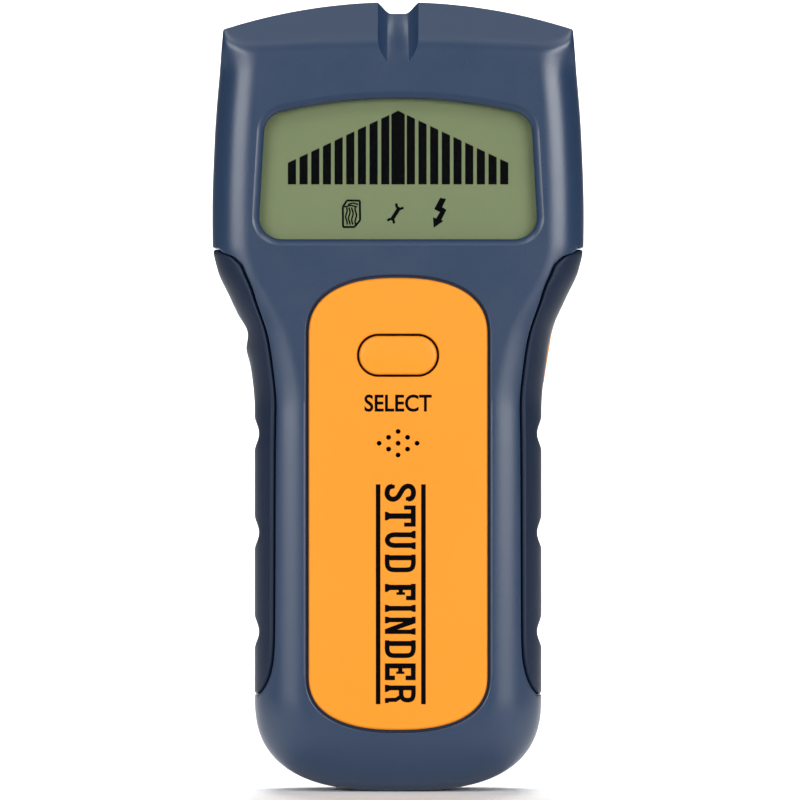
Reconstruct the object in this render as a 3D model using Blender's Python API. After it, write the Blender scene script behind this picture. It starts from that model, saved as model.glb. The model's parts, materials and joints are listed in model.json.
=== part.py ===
"""Stud finder: a hand-held wall scanner with a liquid-crystal display, standing with its marking notch upwards.

The back that slides along the wall faces +Y and the display faces -Y.
The origin is under the middle of the body, at the height of its lowest point.
"""

import math

import bmesh
import bpy
from mathutils import Matrix, Vector

MM = 0.001  # the sizes below are millimetres

# Casing
LENGTH = 165.0
HEAD_WIDTH = 77.7  # widest, just above the grips
GRIP_WIDTH = 59.9
TOP_WIDTH = 73.0  # across the two top corners
BACK_Y = 14.0  # outer face of the rear shell
FACE_Y = -13.2  # flat front of the front shell
WALL = 2.0
SEAM_GAP = 0.3  # left between pieces that meet
TAIL_HEIGHT = 20.7  # the rounded tail, up to the lower end of the grips
TAIL_POWER = 2.7  # exponent of the tail's superellipse
HEAD_HEIGHT = 50.5  # from the top down to the upper end of the grips
TOP_RISE = 6.1  # the top edge's arc, above its corners
BACK_ROUND = 5.0

# Front shoulders: how far the rounding runs in from the rim, and how deep it falls
HEAD_SHOULDER = (8.0, 6.0)
GRIP_SHOULDER = (10.7, 9.5)
TAIL_SHOULDER = 12.3

# Sloping band along the top and the marking notch in it
BAND_HEIGHT = 8.7
BAND_SLOPE = 0.483  # how far the band falls back for each millimetre upwards
NOTCH_HALF = 4.6
NOTCH_FLOOR_HALF = 1.4
NOTCH_DEPTH = 2.7
TROUGH_DEPTH = 1.75
TOP_WALL = 5.2  # the notch lies inside this wall

# Side grips
GRIP_THICK = 1.6
GRIP_GAP = 0.3
SCALLOP_HALF = 3.35
SCALLOP_DEPTH = 0.95
SCALLOP_PITCH = 20.7
SCALLOPS = 3
THUMB_DROP = 19.4  # upper scallop and power button, below the grips' upper end

# Face panel and select button
PANEL_WIDTH = 37.6
PANEL_TOP_DROP = 7.2  # below the grips' upper end
PANEL_FOOT = 12.9  # above the tail
PANEL_ENDS = (11.6, 9.0)  # lengths of the rounded upper and lower ends
PANEL_POWER = 2.35
PANEL_THICK = 1.6
PANEL_PROUD = 0.6
PANEL_GAP = 0.3
SELECT_WIDTH = 17.2
SELECT_HEIGHT = 8.7
SELECT_DROP = 23.2  # centre, below the grips' upper end
SELECT_PROUD = 0.7
SELECT_TRAVEL = 0.6
BUTTON_GAP = 0.3
FLANGE = 1.3
GRILLE_DROP = 18.4  # centre of the sound holes, below the select button
GRILLE_RADIUS = 0.5
GRILLE_STEP = (3.95, 2.45)

# Power button, in the right grip
POWER_LENGTH = 14.0
POWER_HEIGHT = 6.4
POWER_PROUD = 0.5
POWER_TRAVEL = 0.6
POWER_FLANGE = 0.9

# Display
DISPLAY_HALF = 28.4
DISPLAY_TOP_HALF = 27.0
DISPLAY_FOOT_DROP = 49.4  # lower edge, below the top of the casing
DISPLAY_HEIGHT = 26.6  # at its sides
DISPLAY_RISE = 3.0  # of its arched upper edge
DISPLAY_CORNER = 5.0
LENS_RECESS = 0.9
LENS_THICK = 1.5
LENS_FLANGE = (1.4, 1.0)
LCD_THICK = 2.2
LCD_BORDER = 0.9

# Battery: the standard 9 V block
BATTERY_SIZE = (26.5, 17.5, 46.2)
BATTERY_FOOT = 11.0
TERMINAL_HEIGHT = 2.2
TERMINAL_PITCH = 12.7
SNAP_SIZE = (25.0, 12.0, 3.6)
BAY_CLEAR = 0.6
BAY_WALL = 1.2
BAY_HEAD_ROOM = 1.6  # above the snap connector, for its leads
DOOR_THICK = 2.0
DOOR_WIDTH = 34.0
DOOR_FOOT = 9.0
DOOR_GAP = 0.3
FOAM_THICK = 0.8
DOOR_CORNER = 1.8
HINGE_RADIUS = 1.8  # the barrel along the door's upper edge
HINGE_PIN = (0.8, 1.6)  # radius, length beyond the door
LEDGE = 2.6
LEAD_RADIUS = 0.65

# Boards
BOARD_THICK = 1.4
BOARD_Y = -3.4  # its front face
BOARD_GAP = 0.2  # under a part that is soldered to it
SWITCH_SIZE = 6.0
SWITCH_HEIGHT = 3.5
PLUNGER_RADIUS = 1.75
BUZZER_RADIUS = 6.0
BUZZER_HEIGHT = 6.4
SENSOR_THICK = 1.2
COIL_RADII = (8.0, 13.0)
COIL_THICK = 3.0

# Fasteners
SCREW_HEAD = (2.6, 2.0)  # radius, height
SCREW_RADIUS = 1.35
SCREW_LENGTH = 14.0
BOSS_RADIUS = 3.1
SCREW_RECESS = 3.2
POST_RADIUS = 2.0
BOARD_SCREW = (1.9, 1.1, 0.95, 6.0)  # head radius and height, shank radius and length

# Back
PAD_THICK = 0.9
PAD_PROUD = 0.5
LABEL_THICK = 0.12
LABEL_SIZE = (44.0, 26.0)

# Places worked out from the sizes above
HEAD_Z = LENGTH - HEAD_HEIGHT
CORNER_Z = LENGTH - TOP_RISE
BAND_Z = LENGTH - BAND_HEIGHT
CORNER_X = TOP_WIDTH / 2
TOP_RADIUS = (CORNER_X**2 + TOP_RISE**2) / (2 * TOP_RISE)
SELECT_Z = HEAD_Z - SELECT_DROP
THUMB_Z = HEAD_Z - THUMB_DROP
POWER_Z = THUMB_Z - 3.3
GRILLE_Z = SELECT_Z - GRILLE_DROP
PANEL_Y = FACE_Y - PANEL_PROUD
PANEL_BACK_Y = PANEL_Y + PANEL_THICK
INNER_FACE_Y = FACE_Y + WALL
INNER_BACK_Y = BACK_Y - WALL
BOARD_BACK_Y = BOARD_Y + BOARD_THICK
BATTERY_TOP = BATTERY_FOOT + BATTERY_SIZE[2]
BAY_TOP = BATTERY_TOP + SEAM_GAP + SNAP_SIZE[2] + BAY_HEAD_ROOM
BATTERY_BACK_Y = INNER_BACK_Y - SEAM_GAP - FOAM_THICK - SEAM_GAP
BAY_FLOOR_Y = BATTERY_BACK_Y - BATTERY_SIZE[1] - SEAM_GAP
DOOR_TOP = BAY_TOP + 0.4
HINGE_Y = BACK_Y - HINGE_RADIUS
HINGE_Z = DOOR_TOP - HINGE_RADIUS
DISPLAY_FOOT = LENGTH - DISPLAY_FOOT_DROP
DISPLAY_SIDE_TOP = DISPLAY_FOOT + DISPLAY_HEIGHT
DISPLAY_TOP = DISPLAY_SIDE_TOP + DISPLAY_RISE
LCD_FRONT_Y = FACE_Y + LENS_RECESS + LENS_THICK + LENS_FLANGE[1] + SEAM_GAP
LCD_BACK_Y = LCD_FRONT_Y + LCD_THICK
BOARD_FOOT = BAY_TOP + BAY_WALL + 1.0
BOARD_TOP = LENGTH - 10.8
BOARD_HALF = HEAD_WIDTH / 2 - 7.3
NECK_HALF = GRIP_WIDTH / 2 - WALL - GRIP_THICK - GRIP_GAP - 2.2
SCREW_SPOTS = ((TOP_WIDTH / 2 - 6.2, LENGTH - 14.3), (GRIP_WIDTH / 2 - 8.5, 14.6))
POST_SPOTS = ((17.0, BOARD_TOP - 2.8), (24.5, HEAD_Z - 4.5), (NECK_HALF - 3.6, BOARD_FOOT + 12.0))
SENSOR_BOX = (BOARD_HALF - 1.0, DISPLAY_FOOT + 2.0, DISPLAY_TOP + 1.5)


# ---------- curves ----------
def smooth_curve(points):
    """A function through the points (place, value) with no overshoot between them: a monotone cubic."""
    places = [p for p, _ in points]
    values = [v for _, v in points]
    steps = [b - a for a, b in zip(places, places[1:])]
    slopes = [(b - a) / h for a, b, h in zip(values, values[1:], steps)]
    tangents = [slopes[0]]
    for before, after in zip(slopes, slopes[1:]):
        flat = before * after <= 0
        tangents.append(0.0 if flat else 2 * before * after / (before + after))
    tangents.append(slopes[-1])

    def value(place):
        place = min(max(place, places[0]), places[-1])
        i = max(k for k in range(len(steps)) if places[k] <= place)
        h = steps[i]
        t = (place - places[i]) / h
        return (
            values[i] * (1 + 2 * t) * (1 - t) ** 2
            + tangents[i] * h * t * (1 - t) ** 2
            + values[i + 1] * t * t * (3 - 2 * t)
            + tangents[i + 1] * h * t * t * (t - 1)
        )

    return value


# Half width of the body above the tail: straight along the grips, then widening through the neck to the head
NECK_GROWTH = ((34.5, 0.0), (24.5, 0.107), (18.5, 0.23), (11.5, 0.567), (5.5, 0.876), (0.0, 0.995))
body_half = smooth_curve(
    [(TAIL_HEIGHT, GRIP_WIDTH / 2)]
    + [
        (HEAD_Z - drop, GRIP_WIDTH / 2 + share * (HEAD_WIDTH - GRIP_WIDTH) / 2)
        for drop, share in NECK_GROWTH
    ]
    + [(HEAD_Z + 6, HEAD_WIDTH / 2), (HEAD_Z + 22, HEAD_WIDTH / 2 - 0.5), (CORNER_Z, CORNER_X)]
)
shoulder_width = smooth_curve(
    [
        (TAIL_HEIGHT, GRIP_SHOULDER[0]),
        (HEAD_Z - 34.5, GRIP_SHOULDER[0]),
        (HEAD_Z, HEAD_SHOULDER[0]),
        (LENGTH, HEAD_SHOULDER[0]),
    ]
)
shoulder_depth = smooth_curve(
    [
        (TAIL_HEIGHT, GRIP_SHOULDER[1]),
        (HEAD_Z - 34.5, GRIP_SHOULDER[1]),
        (HEAD_Z, HEAD_SHOULDER[1]),
        (LENGTH, HEAD_SHOULDER[1]),
    ]
)
# How far the grips' front edge lies inside the rim, from their lower to their upper end
grip_reach = smooth_curve(
    [
        (TAIL_HEIGHT, 0.35),
        (TAIL_HEIGHT + 2.1, 2.2),
        (TAIL_HEIGHT + 4.7, 3.35),
        (TAIL_HEIGHT + 8.1, 4.2),
        (TAIL_HEIGHT + 12.3, 4.5),
        (HEAD_Z - 30.0, 4.6),
        (HEAD_Z - 17.6, 4.7),
        (HEAD_Z - 11.9, 5.1),
        (HEAD_Z - 6.5, 5.0),
        (HEAD_Z - 3.5, 4.1),
        (HEAD_Z - 2.0, 2.6),
        (HEAD_Z - 0.4, 0.6),
    ]
)


def top_arc(x):
    """Height of the top edge at x."""
    return LENGTH - TOP_RADIUS + math.sqrt(TOP_RADIUS**2 - x * x)


def rounding(share, depth):
    """Quarter ellipse: depth at the rim, where share is 0, and nothing at the flat, where it is 1."""
    rest = 1 - min(max(share, 0.0), 1.0)
    return depth * (1 - math.sqrt(1 - rest * rest))


def even(low, high, count):
    """count + 1 evenly spaced numbers from low to high."""
    return [low + (high - low) * i / count for i in range(count + 1)]


def mirrored(half):
    """A closed outline from its right half, which runs from the middle of the foot to the middle of the top."""
    return half + [(-x, z) for x, z in reversed(half[1:-1])]


def body_stations(side_inset=0.0, top_inset=0.0, foot_inset=0.0):
    """The body's right half, foot to top, as (rim, flat): a point of the outline and the flat face's edge inside it."""
    half = GRIP_WIDTH / 2
    tail_w, tail_h = half - side_inset, TAIL_HEIGHT - foot_inset
    flat_w, flat_h = half - GRIP_SHOULDER[0], TAIL_HEIGHT - TAIL_SHOULDER
    found = []
    for degrees in (0, 14, 28, 42, 54, 66, 78):
        across = math.sin(math.radians(degrees)) ** (2 / TAIL_POWER)
        down = math.cos(math.radians(degrees)) ** (2 / TAIL_POWER)
        found.append(
            (
                (tail_w * across, TAIL_HEIGHT - tail_h * down),
                (flat_w * across, TAIL_HEIGHT - flat_h * down),
            )
        )
    corner_z = CORNER_Z - top_inset
    share = (BAND_Z - top_inset - TAIL_HEIGHT) / (corner_z - TAIL_HEIGHT)
    heights = (
        even(TAIL_HEIGHT, HEAD_Z - 34.5, 2)
        + even(HEAD_Z - 34.5, HEAD_Z + 4, 8)[1:]
        + even(HEAD_Z + 4, corner_z, 3)[1:]
    )
    for z in heights:
        x = body_half(z) - side_inset
        inner_z = TAIL_HEIGHT + (z - TAIL_HEIGHT) * share
        found.append(((x, z), (body_half(inner_z) - shoulder_width(inner_z), inner_z)))
    top_x, flat_x = found[-1][0][0], found[-1][1][0]
    for i in range(1, 7):
        x = top_x * (1 - i / 6)
        found.append(((x, top_arc(x) - top_inset), (flat_x * (1 - i / 6), BAND_Z - top_inset)))
    return found


def face_fall(x, z, side_inset, top_inset, foot_inset, share):
    """How far the front lies behind the flat face at a point that is this share of the way in from the rim."""
    if z < TAIL_HEIGHT:
        fall = rounding(share, GRIP_SHOULDER[1])
    else:
        reach = shoulder_width(z) - side_inset
        fall = rounding((body_half(z) - side_inset - abs(x)) / reach, shoulder_depth(z))
    return max(fall, BAND_SLOPE * (z - BAND_Z + top_inset))


def front_rings(face_y, parting_y, insets, shares=(0.0, 0.06, 0.18, 0.38, 0.66, 1.0)):
    """Rings of the front half of the body, from the parting plane to the edge of the flat face."""
    stations = body_stations(*insets)
    rings = [[(rim[0], parting_y, rim[1]) for rim, _ in stations]]
    for share in shares:
        ring = []
        for rim, flat in stations:
            x = rim[0] + (flat[0] - rim[0]) * share
            z = rim[1] + (flat[1] - rim[1]) * share
            ring.append((x, face_y + face_fall(x, z, *insets, share), z))
        rings.append(ring)
    return [mirror_ring(ring) for ring in rings]


def back_rings(back_y, parting_y, insets, round_radius, angles=(0, 30, 60, 90)):
    """Rings of the rear half of the body, from the parting plane to the edge of the flat back."""
    stations = body_stations(*insets)
    rings = [[(rim[0], parting_y, rim[1]) for rim, _ in stations]]
    for degrees in angles:
        inward = round_radius * (1 - math.cos(math.radians(degrees)))
        y = back_y - round_radius * (1 - math.sin(math.radians(degrees)))
        rings.append([(x, y, z) for x, z in shrunk([rim for rim, _ in stations], inward)])
    return [mirror_ring(ring) for ring in rings]


def mirror_ring(half):
    return half + [(-x, y, z) for x, y, z in reversed(half[1:-1])]


def shrunk(half, distance):
    """The right half of the outline moved inwards along its normals, its ends staying on the middle line."""
    moved = []
    for i, (x, z) in enumerate(half):
        before = half[i - 1] if i else (-half[1][0], half[1][1])
        after = half[i + 1] if i + 1 < len(half) else (-half[-2][0], half[-2][1])
        a = Vector((x - before[0], z - before[1])).normalized()
        b = Vector((after[0] - x, after[1] - z)).normalized()
        along = (a + b).normalized()
        reach = distance / max(along.dot(a), 0.5)
        moved.append((x - along.y * reach, z + along.x * reach))
    return moved


# ---------- solids ----------
MATERIALS = {}


def material(name, colour, roughness, metallic=0.0):
    """A Principled material, made once for each name."""
    if name not in MATERIALS:
        made = bpy.data.materials.new(name)
        made.use_nodes = True
        shader = made.node_tree.nodes["Principled BSDF"]
        shader.inputs["Base Color"].default_value = (*colour, 1.0)
        shader.inputs["Roughness"].default_value = roughness
        shader.inputs["Metallic"].default_value = metallic
        MATERIALS[name] = made
    return MATERIALS[name]


def blue():
    return material("blue_plastic", (0.045, 0.066, 0.115), 0.42)


def rubber():
    return material("grip_rubber", (0.035, 0.048, 0.082), 0.6)


def orange():
    return material("orange_plastic", (0.95, 0.34, 0.035), 0.4)


def black():
    return material("black_plastic", (0.02, 0.02, 0.022), 0.5)


def board_green():
    return material("board_laminate", (0.02, 0.12, 0.05), 0.45)


def steel():
    return material("steel", (0.55, 0.56, 0.58), 0.3, 1.0)


def new_object(name, mesh, finish):
    body = bpy.data.objects.new(name, mesh)
    if finish:
        body.data.materials.append(finish)
    bpy.context.scene.collection.objects.link(body)
    return body


def from_bmesh(name, shape, finish=None, smooth=False):
    bmesh.ops.recalc_face_normals(shape, faces=shape.faces)
    mesh = bpy.data.meshes.new(name)
    shape.to_mesh(mesh)
    shape.free()
    mesh.transform(Matrix.Scale(MM, 4))
    if smooth:
        mesh.shade_smooth()
        mesh.set_sharp_from_angle(angle=math.radians(35))
    return new_object(name, mesh, finish)


def add_rings(shape, rings, closed_path=False):
    """Adds a skin over rings of points to the bmesh, with flat caps unless the path closes on itself."""
    rows = [[shape.verts.new(p) for p in ring] for ring in rings]
    pairs = list(zip(rows, rows[1:]))
    if closed_path:
        pairs.append((rows[-1], rows[0]))
    for low, high in pairs:
        for i in range(len(low)):
            j = (i + 1) % len(low)
            shape.faces.new((low[i], low[j], high[j], high[i]))
    if not closed_path:
        shape.faces.new(rows[0])
        shape.faces.new(rows[-1])


def skin(name, rings, finish=None, smooth=True):
    shape = bmesh.new()
    add_rings(shape, rings)
    return from_bmesh(name, shape, finish, smooth)


def add_prism(shape, outline, y0, y1):
    """Adds an outline of (x, z) points carried from y0 to y1."""
    add_rings(shape, [[(x, y, z) for x, z in outline] for y in (y0, y1)])


def add_box(shape, x0, x1, y0, y1, z0, z1):
    add_prism(shape, [(x0, z0), (x1, z0), (x1, z1), (x0, z1)], y0, y1)


def circle(x, z, radius, sides):
    turns = [2 * math.pi * (i + 0.5) / sides for i in range(sides)]
    return [(x + radius * math.cos(t), z + radius * math.sin(t)) for t in turns]


def add_turned(shape, centre, profile, sides, along="Y"):
    """Adds a closed turned solid. Its profile is (radius, place along the axis) from one end to the other."""
    rings = []
    for radius, place in profile:
        ring = []
        for u, v in circle(0, 0, radius, sides):
            if along == "Y":
                ring.append((centre[0] + u, place, centre[1] + v))
            elif along == "X":
                ring.append((place, centre[0] + u, centre[1] + v))
            else:
                ring.append((centre[0] + u, centre[1] + v, place))
        rings.append(ring)
    add_rings(shape, rings)


def rounded_outline(half_width, low, high, radius, count=5, cx=0.0):
    """A rectangle with round corners, anticlockwise from its lower right corner."""
    corners = (
        (half_width - radius, low + radius, -90),
        (half_width - radius, high - radius, 0),
        (radius - half_width, high - radius, 90),
        (radius - half_width, low + radius, 180),
    )
    points = []
    for x, z, start in corners:
        for angle in even(start, start + 90, count):
            t = math.radians(angle)
            points.append((cx + x + radius * math.cos(t), z + radius * math.sin(t)))
    return points


def place_copies(body, names, places):
    """Moves the body to the first place and puts an object with the same mesh at each of the others."""
    for name, place in zip(names, places):
        piece = body if name == names[0] else new_object(name, body.data, None)
        piece.location = [v * MM for v in place]


def numbered(name, count):
    return [f"{name}_{i + 1}" for i in range(count)]


def pivot(body, x, y, z):
    """Puts the body's origin on its joint's axis. The shape stays where it is."""
    place = Vector((x, y, z)) * MM
    body.data.transform(Matrix.Translation(-place))
    body.location = place


def apply_boolean(body, tool, operation):
    """Adds the Boolean to the body. The tool becomes a helper that is neither rendered nor built."""
    modifier = body.modifiers.new(f"{operation.lower()}_{tool.name}", "BOOLEAN")
    modifier.operation = operation
    modifier.object = tool
    tool.hide_render = True
    tool.display_type = "WIRE"


def cut(body, *tools):
    for tool in tools:
        apply_boolean(body, tool, "DIFFERENCE")


def weld(body, *tools):
    for tool in tools:
        apply_boolean(body, tool, "UNION")


# ---------- outlines of the fitted pieces ----------
def panel_outline(grow=0.0):
    """The face panel: straight sides between two superellipse ends."""
    half = PANEL_WIDTH / 2 + grow
    low, high = PANEL_FOOT, HEAD_Z - PANEL_TOP_DROP
    outline = []
    for turn, end, middle in ((1, PANEL_ENDS[0], high - PANEL_ENDS[0]), (-1, PANEL_ENDS[1], low + PANEL_ENDS[1])):
        for degrees in even(90, -90, 14):
            across = abs(math.sin(math.radians(degrees))) ** (2 / PANEL_POWER)
            up = abs(math.cos(math.radians(degrees))) ** (2 / PANEL_POWER)
            outline.append((math.copysign(half * across, turn * degrees), middle + turn * (end + grow) * up))
    return outline


def display_outline(grow=0.0):
    """The display: a straight lower edge, sides that lean in a little and an arched upper edge."""
    foot, side_top = DISPLAY_FOOT - grow, DISPLAY_SIDE_TOP + grow
    radius = DISPLAY_CORNER + grow
    half, top_half = DISPLAY_HALF + grow, DISPLAY_TOP_HALF + grow
    right = []
    for angle in even(-90, 0, 5):
        t = math.radians(angle)
        right.append((half - radius + radius * math.cos(t), foot + radius + radius * math.sin(t)))
    for angle in even(0, 78, 5):
        t = math.radians(angle)
        right.append((top_half - radius + radius * math.cos(t), side_top - radius + radius * math.sin(t)))
    x0, z0 = right[-1]
    for x in even(x0, 0, 5)[1:-1]:
        right.append((x, z0 + (DISPLAY_RISE + side_top - z0) * (1 - (x / x0) ** 2)))
    peak = (0.0, side_top + DISPLAY_RISE)
    return right + [peak] + [(-x, z) for x, z in reversed(right)]


def select_outline(grow=0.0):
    """The select button: a pill that lies across the panel."""
    half, radius = SELECT_WIDTH / 2 + grow, SELECT_HEIGHT / 2 + grow
    return rounded_outline(half, SELECT_Z - radius, SELECT_Z + radius, radius - 0.01, 6)


def power_outline(grow=0.0):
    """The power button seen from the side, as (y, z): an upright pill centred on the parting plane."""
    half, tall = POWER_HEIGHT / 2 + grow, POWER_LENGTH / 2 + grow
    return rounded_outline(half, POWER_Z - tall, POWER_Z + tall, half - 0.01, 6)


def grille_spots():
    """Nine sound holes in a diamond."""
    across, up = GRILLE_STEP[0] / 2, GRILLE_STEP[1]
    return [((i - j) * across, GRILLE_Z + (i + j) * up / 2) for i in (-1, 0, 1) for j in (-1, 0, 1)]


# ---------- grips ----------
def scallop(z, centres):
    """Depth of the finger scallops at this height: shallow arcs with soft ends."""
    nearest = min(abs(z - c) for c in centres)
    if nearest >= SCALLOP_HALF:
        return 0.0
    return SCALLOP_DEPTH * math.cos(nearest / SCALLOP_HALF * math.pi / 2) ** 1.2


def grip_section(z, grow, inward, outward, centres):
    """One grip's closed section at height z, right side, as (x, y), from its front edge round the side to its back edge."""
    half, reach, depth = body_half(z), shoulder_width(z), shoulder_depth(z)
    inside = min(grip_reach(z) + grow, 0.8 * reach)
    start = math.asin(max(1 - inside / reach, 0.0))
    back_reach = min(0.75 * inside, 0.8 * BACK_ROUND)
    finish = math.acos(1 - back_reach / BACK_ROUND)

    def path(offset):
        points = []
        for angle in even(start, math.pi / 2, 3):
            normal = Vector((math.sin(angle) / reach, -math.cos(angle) / depth)).normalized()
            x = half - reach + reach * math.sin(angle) + normal.x * offset
            points.append((x, FACE_Y + depth - depth * math.cos(angle) + normal.y * offset))
        points.append((half + offset, 0.0))
        for angle in even(0, finish, 2):
            x = half - BACK_ROUND + (BACK_ROUND + offset) * math.cos(angle)
            points.append((x, BACK_Y - BACK_ROUND + (BACK_ROUND + offset) * math.sin(angle)))
        return points

    limit = half - scallop(z, centres) + outward
    outer = [(min(x, limit), y) for x, y in path(outward)]
    return outer + list(reversed(path(-inward)))


def scallop_centres(with_thumb):
    low = TAIL_HEIGHT + 12.8
    return [low + i * SCALLOP_PITCH for i in range(SCALLOPS)] + ([THUMB_Z] if with_thumb else [])


def grip_heights(centres, grow):
    """Section heights: close together in the scallops and at the ends, further apart between them."""
    low, high = TAIL_HEIGHT + GRIP_GAP - grow, HEAD_Z - GRIP_GAP + grow
    steps = [low + s for s in (0, 1.0, 2.6, 5.5, 8.8)] + [high - s for s in (8.0, 5.2, 3.0, 1.4, 0)]
    for centre in centres:
        steps += [centre + SCALLOP_HALF * s for s in (-1, -0.5, 0, 0.5, 1)]
    steps += [HEAD_Z - 34.5, HEAD_Z - 28, HEAD_Z - 12]
    kept = []
    for z in sorted(steps):
        if low <= z <= high and (not kept or z - kept[-1] > 0.5):
            kept.append(z)
    return kept


def make_grip(name, side, finish, grow=0.0, inward=GRIP_THICK, outward=0.0):
    """A grip on one side, or the larger solid that cuts its seat."""
    centres = scallop_centres(side < 0)
    rings = []
    for z in grip_heights(centres, grow):
        section = grip_section(z, grow, inward, outward, centres)
        rings.append([(side * x, y, z) for x, y in section])
    return skin(name, rings, finish)


def grip_seats(prefix):
    """Cutters for the two grips' seats in a shell."""
    grow, deep = GRIP_GAP, GRIP_THICK + GRIP_GAP
    return [make_grip(f"{prefix}_{side}_seat", side, None, grow, deep, 3.0) for side in (-1, 1)]


# ---------- casing ----------
GRIP_INSET = GRIP_THICK + GRIP_GAP
CAVITY_INSETS = (WALL + GRIP_INSET, TOP_WALL, WALL)


def notch_tools(prefix):
    """The through notch in the top edge, for a pencil."""
    profile = [
        (-NOTCH_HALF - 0.4, LENGTH + 1.0),
        (-NOTCH_HALF + 0.15, LENGTH - 0.4),
        (-NOTCH_HALF + 1.3, LENGTH - 0.46 * NOTCH_DEPTH),
        (-NOTCH_FLOOR_HALF, LENGTH - NOTCH_DEPTH),
    ]
    shape = bmesh.new()
    add_prism(shape, profile + [(-x, z) for x, z in reversed(profile)], FACE_Y - 3, BACK_Y + 3)
    return from_bmesh(f"{prefix}_notch", shape)


def trough_tool():
    """The round-bottomed trough that leads the pencil down the sloping band."""
    radius = (NOTCH_HALF**2 + TROUGH_DEPTH**2) / (2 * TROUGH_DEPTH)
    shape = bmesh.new()
    add_turned(shape, (0, 0), [(radius, -14.0), (radius, 14.0)], 40, along="Z")
    tilt = math.atan(BAND_SLOPE)
    bmesh.ops.rotate(shape, verts=shape.verts, matrix=Matrix.Rotation(-tilt, 3, "X"))
    lift = radius - TROUGH_DEPTH
    middle = Vector((0, FACE_Y - lift * math.cos(tilt), BAND_Z + lift * math.sin(tilt)))
    bmesh.ops.translate(shape, verts=shape.verts, vec=middle)
    return from_bmesh("band_trough", shape)


def mirrored_spots(spots):
    return [(side * x, z) for x, z in spots for side in (-1, 1)]


def power_hole(name):
    """Cutter for the power button: its hole, and behind the wall the wider room for its flange."""
    shape = bmesh.new()
    rings = []
    for grow, x_of in (
        (POWER_FLANGE + 0.5, lambda z: GRIP_WIDTH / 4),
        (POWER_FLANGE + 0.5, lambda z: body_half(z) - GRIP_INSET - WALL + 0.2),
        (BUTTON_GAP, lambda z: body_half(z) - GRIP_INSET - WALL + 0.2),
        (BUTTON_GAP, lambda z: HEAD_WIDTH),
    ):
        rings.append([(x_of(z), y, z) for y, z in power_outline(grow)])
    add_rings(shape, rings)
    return from_bmesh(name, shape)


def make_front_shell():
    """Upper half of the casing, with its screw bosses and the posts that carry the main board."""
    parting = -SEAM_GAP / 2
    shell = skin("front_shell", front_rings(FACE_Y, parting, (0, 0, 0)), blue())
    cavity = skin("front_cavity", front_rings(INNER_FACE_Y, 2.0, CAVITY_INSETS, (0.0, 0.2, 1.0)))
    pillars = bmesh.new()
    for x, z in mirrored_spots(SCREW_SPOTS):
        add_prism(pillars, circle(x, z, BOSS_RADIUS, 16), FACE_Y - 2, -SEAM_GAP)
    for x, z in mirrored_spots(POST_SPOTS):
        add_prism(pillars, circle(x, z, POST_RADIUS, 12), FACE_Y - 2, BOARD_Y - SEAM_GAP)
    cut(cavity, from_bmesh("front_pillars", pillars))
    seat = bmesh.new()
    add_prism(seat, panel_outline(PANEL_GAP), FACE_Y - 2, PANEL_BACK_Y + SEAM_GAP)
    holes = bmesh.new()
    add_prism(holes, display_outline(), FACE_Y - 4, INNER_FACE_Y + 3)
    add_prism(holes, select_outline(FLANGE + BUTTON_GAP), FACE_Y - 4, INNER_FACE_Y + 3)
    for x, z in grille_spots():
        add_prism(holes, circle(x, z, GRILLE_RADIUS + 0.35, 8), FACE_Y - 4, INNER_FACE_Y + 3)
    for x, z in mirrored_spots(SCREW_SPOTS):
        add_prism(holes, circle(x, z, SCREW_RADIUS + 0.2, 12), BACK_Y - SCREW_RECESS - SCREW_LENGTH - 1, 4.0)
    for x, z in mirrored_spots(POST_SPOTS):
        add_prism(holes, circle(x, z, BOARD_SCREW[2] + 0.2, 10), BOARD_Y - 5.6, 4.0)
    cut(shell, cavity, from_bmesh("panel_seat", seat), from_bmesh("front_holes", holes))
    cut(shell, *grip_seats("front"), notch_tools("front"), trough_tool())
    cut(shell, power_hole("front_power_hole"))
    return shell


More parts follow.
